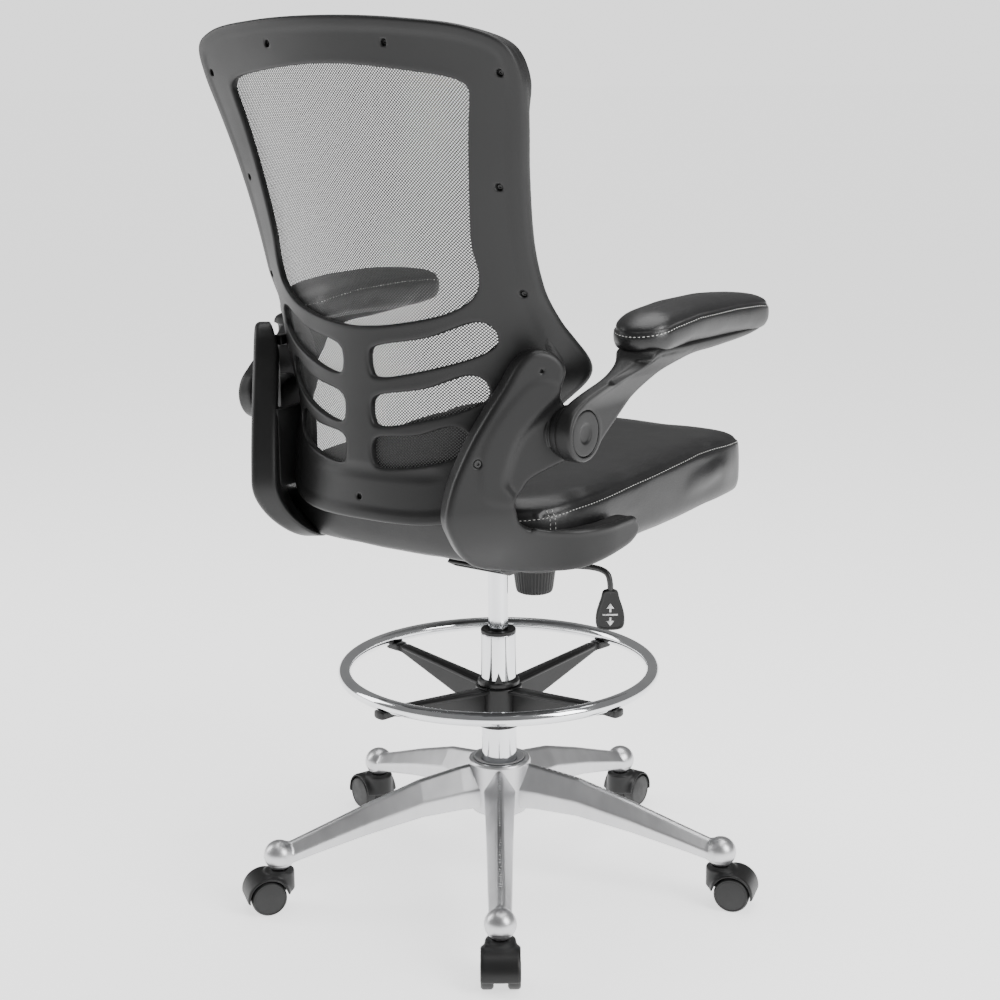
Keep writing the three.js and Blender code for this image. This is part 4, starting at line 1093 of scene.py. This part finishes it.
def arms():
    verts, faces = surface_net(arm_field(), (-0.185, 0.676, -0.004), (0.234, 0.826, 0.029), 0.0018)
    left = (np.stack(arm_place(*verts.T), 1), [face[::-1] for face in faces])
    face = ARM_INNER + ARM_THICKNESS
    cap = turned(rounded_profile([
        (0, face - 0.0027), (0.0288, face - 0.0027), (0.0288, face - 0.001), (0.0272, face + 0.0004),
        (0.0135, face + 0.0001), (0.0105, face - 0.0016), (0, face - 0.0020)], 0.0015), 96)
    cap = moved(cap, Matrix.Rotation(math.pi / 2, 4, "Y"), PIVOT)
    for side in ("left", "right"):
        piece = merged(f"arm_{side}_moulding", [sided(left, side)])
        finish_piece(clean(piece), f"arm_{side}", "black_plastic", [f"arm_{side}"])
        piece = clean(merged(f"arm_{side}_cap", [sided(cap, side)]))
        finish_piece(piece, f"arm_{side}", "black_plastic", [f"arm_pivot_cap_{side}"])
        arm_pad(side)


# ---------------------------------------------------------------- padded pieces
def loft(rings):
    """(vertices, faces) of a closed skin through rings of points with a cap at each end."""
    size = len(rings[0])
    verts = np.concatenate(rings)
    faces = []
    for r in range(len(rings) - 1):
        for i in range(size):
            j = (i + 1) % size
            faces.append((r * size + i, r * size + j, (r + 1) * size + j, (r + 1) * size + i))
    faces.append(tuple(reversed(range(size))))
    faces.append(tuple(range((len(rings) - 1) * size, len(rings) * size)))
    return verts, faces


def remesh(piece, voxel):
    modifier = piece.modifiers.new("remesh", "REMESH")
    modifier.mode = "VOXEL"
    modifier.voxel_size = voxel
    apply_modifiers(piece)


def apply_modifiers(piece):
    graph = bpy.context.evaluated_depsgraph_get()
    graph.update()
    mesh = bpy.data.meshes.new_from_object(piece.evaluated_get(graph))
    piece.modifiers.clear()
    piece.data = mesh


def points_of(piece):
    points = np.zeros(len(piece.data.vertices) * 3)
    piece.data.vertices.foreach_get("co", points)
    return points.reshape(-1, 3)


def set_points(piece, points):
    piece.data.vertices.foreach_set("co", np.asarray(points, float).ravel())
    piece.data.update()


def evened(piece, values, rounds):
    """Averages a value per point with its neighbours, to leave only the broad part of it."""
    edges = np.zeros(len(piece.data.edges) * 2, int)
    piece.data.edges.foreach_get("vertices", edges)
    a, b = edges.reshape(-1, 2).T
    count = np.bincount(np.concatenate([a, b]), minlength=len(values))[:, None]
    for _ in range(rounds):
        total = np.zeros_like(values)
        np.add.at(total, a, values[b])
        np.add.at(total, b, values[a])
        values = 0.5 * values + 0.5 * total / np.maximum(count, 1)
    return values


def puffed(piece, voxel, pressure, cap, soften=12):
    """Remeshes a padded piece evenly, swells it with a cloth simulation and caps how far it moves."""
    remesh(piece, voxel)
    rest = points_of(piece)
    modifier = piece.modifiers.new("cloth", "CLOTH")
    modifier.settings.use_pressure = True
    modifier.settings.uniform_pressure_force = pressure
    modifier.settings.quality = 6
    modifier.settings.effector_weights.gravity = 0
    modifier.point_cache.frame_start = 1
    modifier.point_cache.frame_end = 20
    for step in range(1, 21):
        bpy.context.scene.frame_set(step)
    apply_modifiers(piece)
    bpy.context.scene.frame_set(1)
    shift = evened(piece, points_of(piece) - rest, soften)
    length = np.linalg.norm(shift, axis=1, keepdims=True)
    shift *= np.minimum(1, cap / np.maximum(length, 1e-9))
    set_points(piece, rest + shift)
    smoothing = piece.modifiers.new("smooth", "SMOOTH")
    smoothing.iterations = 4
    subdivision = piece.modifiers.new("subdivision", "SUBSURF")
    subdivision.levels = subdivision.render_levels = 1
    apply_modifiers(piece)
    piece.data.polygons.foreach_set("use_smooth", [True] * len(piece.data.polygons))


def stitch_row(name, path, body, slot, length=0.0034, gap=0.0024, radius=0.00046):
    """A row of separate thread stitches along points that lie on the surface."""
    path = np.array(path)
    spans = np.linalg.norm(np.diff(path, axis=0), axis=1)
    travelled = np.concatenate([[0], np.cumsum(spans)])
    starts = np.arange(0, travelled[-1] - length, length + gap)
    bead = turned([(0, -0.5), (0.6, -0.42), (1, -0.2), (1, 0.2), (0.6, 0.42), (0, 0.5)], 8)
    parts = []
    for start in starts:
        a, b = (Vector([np.interp(s, travelled, path[:, k]) for k in range(3)])
                for s in (start, start + length))
        rotation = (b - a).to_track_quat("Z", "Y").to_matrix().to_4x4()
        scale = Matrix.Diagonal((radius, radius, length, 1))
        parts.append(moved(bead, rotation @ scale, (a + b) / 2))
    piece = clean(merged(name, parts), 1e-7)
    return finish_piece(piece, body, slot, look=THREAD)


def tree_of(piece):
    return BVHTree.FromPolygons([v.co for v in piece.data.vertices],
                                [p.vertices[:] for p in piece.data.polygons])


def seat_plan():
    """Control points of the seat's outline from above, in row-frame metres."""
    w, front, back = SEAT_HALF_WIDTH, SEAT_FRONT, SEAT_BACK
    quarter = [(0, back), (w * 0.45, back - 0.003), (w * 0.78, back - 0.017), (w * 0.925, back - 0.050),
               (w * 0.985, back - 0.110), (w, 0.020), (w, -0.150), (w * 0.99, front + 0.060),
               (w * 0.945, front + 0.015), (w * 0.78, front + 0.003), (w * 0.4, front)]
    left = [(-x, y) for x, y in reversed(quarter[1:])]
    return [(x, y + COLUMN_Y) for x, y in quarter + [(0, front)] + left]


SEAM_LINE = ((-0.295, 0.633), (-0.200, 0.636), (-0.150, 0.6355), (-0.086, 0.631), (0.000, 0.6255),
             (0.080, 0.6205), (0.164, 0.6165), (0.215, 0.610), (0.246, 0.606))


def seam_height(y):
    """The seam is on the crown at the front corners and sinks towards the rear."""
    ys, heights = zip(*SEAM_LINE)
    return np.interp(y - COLUMN_Y, ys, heights)


def seat_ring(outline, inset, level):
    """level runs from 0 at the bottom edge to 1 at the seam and 2 at the crown."""
    middle = np.array([0, (SEAT_FRONT + SEAT_BACK) / 2 + COLUMN_Y])
    half = np.array([SEAT_HALF_WIDTH, (SEAT_BACK - SEAT_FRONT) / 2])
    flat = middle + (outline - middle) * (1 - inset / half)
    back = flat[:, 1] - COLUMN_Y
    bottom, seam = SEAT_BOTTOM + 0.001 - SEAT_SLOPE * back, seam_height(outline[:, 1])
    crown = SEAT_CROWN - SEAT_SLOPE * back
    low, high = min(level, 1), max(level - 1, 0)
    height = bottom + (seam - bottom) * low + (crown - seam) * high
    return np.column_stack([flat, height])


def seat():
    outline = smooth_curve(seat_plan(), 10, closed=True)[::-1]
    profile = [(0.016, 0), (0.006, 0.04), (0.003, 0.2), (0.003, 0.6), (0.0035, 0.9), (0.005, 1),
               (0.011, 1.35), (0.030, 1.65), (0.070, 1.85), (0.130, 1.8), (0.200, 1.72)]
    piece = merged("seat_cushion_cover", [loft([seat_ring(outline, *entry) for entry in profile])])
    clean(piece)
    puffed(piece, 0.0055, 3.0, 0.006)
    points = points_of(piece)
    seam = np.exp(-((points[:, 2] - seam_height(points[:, 1])) / 0.0032) ** 2)
    middle = np.array([0, (SEAT_FRONT + SEAT_BACK) / 2 + COLUMN_Y])
    reach = np.abs(points[:, :2] - middle) / (SEAT_HALF_WIDTH, (SEAT_BACK - SEAT_FRONT) / 2)
    seam *= reach.max(axis=1) > 0.85
    inward = middle - points[:, :2]
    inward /= np.maximum(np.linalg.norm(inward, axis=1, keepdims=True), 1e-9)
    points[:, :2] += inward * (0.0022 * seam)[:, None]
    set_points(piece, points)
    finish_piece(piece, "seat", "seat_vinyl", ["seat_cushion"])
    seat_stitches(piece, outline, middle)
    board = [(0.142, -0.0075), (0.136, -0.0075), (0.132, -0.0065), (0.130, -0.0035), (0.128, 0),
             (0.134, 0.002)]
    rings = [seat_ring(outline, inset, 0) + (0, 0, lift) for inset, lift in board]
    piece = sharp_edges(clean(merged("seat_board", [loft(rings)])))
    finish_piece(piece, "seat", "black_plastic", ["seat_pan"])


def on_side(tree, x, y, z, middle, lift=0.0003):
    """The point on the cushion's side at a height, looking in from outside towards the middle."""
    inward = Vector((middle[0] - x, middle[1] - y, 0)).normalized()
    start = Vector((x, y, z)) - inward * 0.05
    hit, normal, _, _ = tree.ray_cast(start, inward)
    if hit is None:
        return None
    return hit - inward * lift


def seat_stitches(piece, outline, middle):
    tree = tree_of(piece)
    dense = smooth_curve(seat_plan(), 24, closed=True)
    dense = np.concatenate([dense, dense[:1]])
    path = [on_side(tree, x, y, seam_height(y) - 0.0035, middle) for x, y in dense]
    path = [tuple(p) for p in path if p is not None]
    stitch_row("seat_seam_stitches", path, "seat", "seat_vinyl")
    for side, label in ((1, "left"), (-1, "right")):
        for row, y in enumerate((0.196, 0.189)):
            x, y = side * SEAT_HALF_WIDTH * 0.93, y + COLUMN_Y
            heights = np.linspace(float(seam_height(y)) + 0.004, SEAT_BOTTOM + 0.010, 24)
            path = [on_side(tree, x, y, z, (middle[0], y - 0.06)) for z in heights]
            path = [tuple(p) for p in path if p is not None]
            stitch_row(f"seat_corner_stitches_{label}_{row + 1}", path, "seat", "seat_vinyl")


PAD_X = 0.281
PAD_REAR = 0.109
PAD_FRONT = -0.215
PAD_HALF_WIDTH = 0.043
PAD_LINES = {                    # heights along the pad, from front to rear
    "bottom": ((-0.215, 0.816), (-0.190, 0.810), (-0.150, 0.806), (-0.060, 0.806),
               (0.020, 0.8075), (0.109, 0.809)),
    "seam": ((-0.215, 0.838), (-0.157, 0.845), (-0.094, 0.8475), (0.000, 0.847),
             (0.060, 0.841), (0.109, 0.832)),
    "crown": ((-0.215, 0.853), (-0.150, 0.860), (-0.075, 0.865), (0.000, 0.866),
              (0.060, 0.862), (0.109, 0.849)),
}


def pad_line(name, y):
    ys, heights = zip(*PAD_LINES[name])
    return np.interp(y, ys, heights)


def pad_ring(inset, level, side, count=28):
    """level runs from 0 at the bottom edge to 1 at the seam and 2 at the crown."""
    half = PAD_HALF_WIDTH - inset
    rear, front = PAD_REAR - inset, PAD_FRONT + inset
    angles = np.linspace(0, math.pi, count)
    ends = [(half * math.cos(a), rear - half + half * math.sin(a)) for a in angles]
    sides = [(half, y) for y in np.linspace(front + half, rear - half, count)[1:-1]]
    ends += [(-x, y) for x, y in reversed(sides)]
    ends += [(-half * math.cos(a), front + half - half * math.sin(a)) for a in angles]
    ends += sides
    plan = np.array(ends)
    y = plan[:, 1]
    low, high = min(level, 1), max(level - 1, 0)
    bottom, seam, crown = (pad_line(name, y) for name in ("bottom", "seam", "crown"))
    height = bottom + (seam - bottom) * low + (crown - seam) * high
    return np.column_stack([side * PAD_X + plan[:, 0], y + COLUMN_Y, height])


def pad_core(x, y, side):
    """The nearest point of the pad's centre line, seen from above."""
    end = PAD_HALF_WIDTH + 0.002
    return np.full_like(x, side * PAD_X), np.clip(y, PAD_FRONT + end + COLUMN_Y, PAD_REAR - end + COLUMN_Y)


def arm_pad(label):
    side = 1 if label == "left" else -1
    profile = [(0.014, 0), (0.006, 0.08), (0.002, 0.35), (0.0015, 0.75), (0.003, 1), (0.0065, 1.35),
               (0.013, 1.6), (0.024, 1.8), (0.036, 1.88)]
    piece = clean(merged(f"arm_pad_{label}_cover", [loft([pad_ring(*entry, side) for entry in profile])]))
    puffed(piece, 0.004, 3.0, 0.004)
    points = points_of(piece)
    core_x, core_y = pad_core(points[:, 0], points[:, 1], side)
    seam = np.exp(-((points[:, 2] - pad_line("seam", points[:, 1] - COLUMN_Y)) / 0.0024) ** 2)
    inward = np.stack([core_x - points[:, 0], core_y - points[:, 1]], 1)
    reach = np.linalg.norm(inward, axis=1, keepdims=True)
    inward /= np.maximum(reach, 1e-9)
    points[:, :2] += inward * (0.0015 * seam * (reach[:, 0] > 0.034))[:, None]
    set_points(piece, points)
    finish_piece(piece, f"arm_{label}", "arm_vinyl", [f"arm_pad_{label}"])
    tree = tree_of(piece)
    ring = pad_ring(0, 1, side, 60)
    ring = np.concatenate([ring, ring[:1]])
    path = []
    for x, y, _ in ring:
        height = float(pad_line("seam", y - COLUMN_Y)) - 0.0027
        path.append(on_side(tree, x, y, height, [float(c) for c in pad_core(x, y, side)]))
    path = [tuple(p) for p in path if p is not None]
    stitch_row(f"arm_pad_{label}_stitches", path, f"arm_{label}", "arm_vinyl", radius=0.00042)


# ---------------------------------------------------------------- stage
ROOM_LIGHT = 0.25
PAPER_LIGHT = 1.7


def stage_floor():
    far = 60
    floor = mesh_object("floor", [(-far, -far, 0), (far, -far, 0), (far, far, 0), (-far, far, 0)],
                        [(0, 1, 2, 3)], False)
    material, nodes, links, shader = node_material(
        "pale_floor", (0.9, 0.9, 0.9), 0.7, Emission_Color=(1, 1, 1, 1), Emission_Strength=1.45)
    floor.data.materials.append(material)


def area_light(name, spot, size, power, target=(0, 0, 0.6)):
    data = bpy.data.lights.new(name, "AREA")
    data.shape = "RECTANGLE"
    data.size, data.size_y = size
    data.energy = power
    light = bpy.data.objects.new(name, data)
    light.location = spot
    light.rotation_euler = (Vector(target) - Vector(spot)).to_track_quat("-Z", "Y").to_euler()
    bpy.context.scene.collection.objects.link(light)


def studio():
    """A soft white room that the camera sees as paper white, and three large lights."""
    world = bpy.data.worlds.new("studio")
    world.use_nodes = True
    nodes, links = world.node_tree.nodes, world.node_tree.links
    room = nodes["Background"]
    room.inputs["Color"].default_value = (1, 1, 1, 1)
    room.inputs["Strength"].default_value = ROOM_LIGHT
    paper = nodes.new("ShaderNodeBackground")
    paper.inputs["Color"].default_value = (1, 1, 1, 1)
    paper.inputs["Strength"].default_value = PAPER_LIGHT
    path = nodes.new("ShaderNodeLightPath")
    mix = nodes.new("ShaderNodeMixShader")
    links.new(path.outputs["Is Camera Ray"], mix.inputs["Fac"])
    links.new(room.outputs["Background"], mix.inputs[1])
    links.new(paper.outputs["Background"], mix.inputs[2])
    links.new(mix.outputs["Shader"], nodes["World Output"].inputs["Surface"])
    bpy.context.scene.world = world
    area_light("key", (-3.0, 0.2, 2.2), (1.4, 2.4), 95)
    area_light("side", (2.8, 1.2, 1.6), (1.2, 2.2), 40)
    area_light("top", (0, -0.4, 3.4), (2.6, 2.6), 80)


def camera():
    """Stands behind the chair's right side, a little above it."""
    data = bpy.data.cameras.new("camera")
    data.lens = 69.5
    data.sensor_width = 36
    data.clip_end = 60
    view = bpy.data.objects.new("camera", data)
    right, up, forward = Vector((-0.810, -0.586, -0.008)), Vector((0.128, -0.189, 0.974)), \
        Vector((0.572, -0.788, -0.228))
    view.matrix_world = Matrix((
        (right.x, up.x, -forward.x, -1.547), (right.y, up.y, -forward.y, 2.136),
        (right.z, up.z, -forward.z, 1.179), (0, 0, 0, 1)))
    bpy.context.scene.collection.objects.link(view)
    bpy.context.scene.camera = view


camera()
studio()
stage_floor()
dress_cad_nodes()
star_base()
casters()
column()
foot_ring()
tension_knob()
tension_spring()
lever()
back_frame()
back_mesh()
mesh_welt()
brackets()
bracket_screws()
arms()
seat()
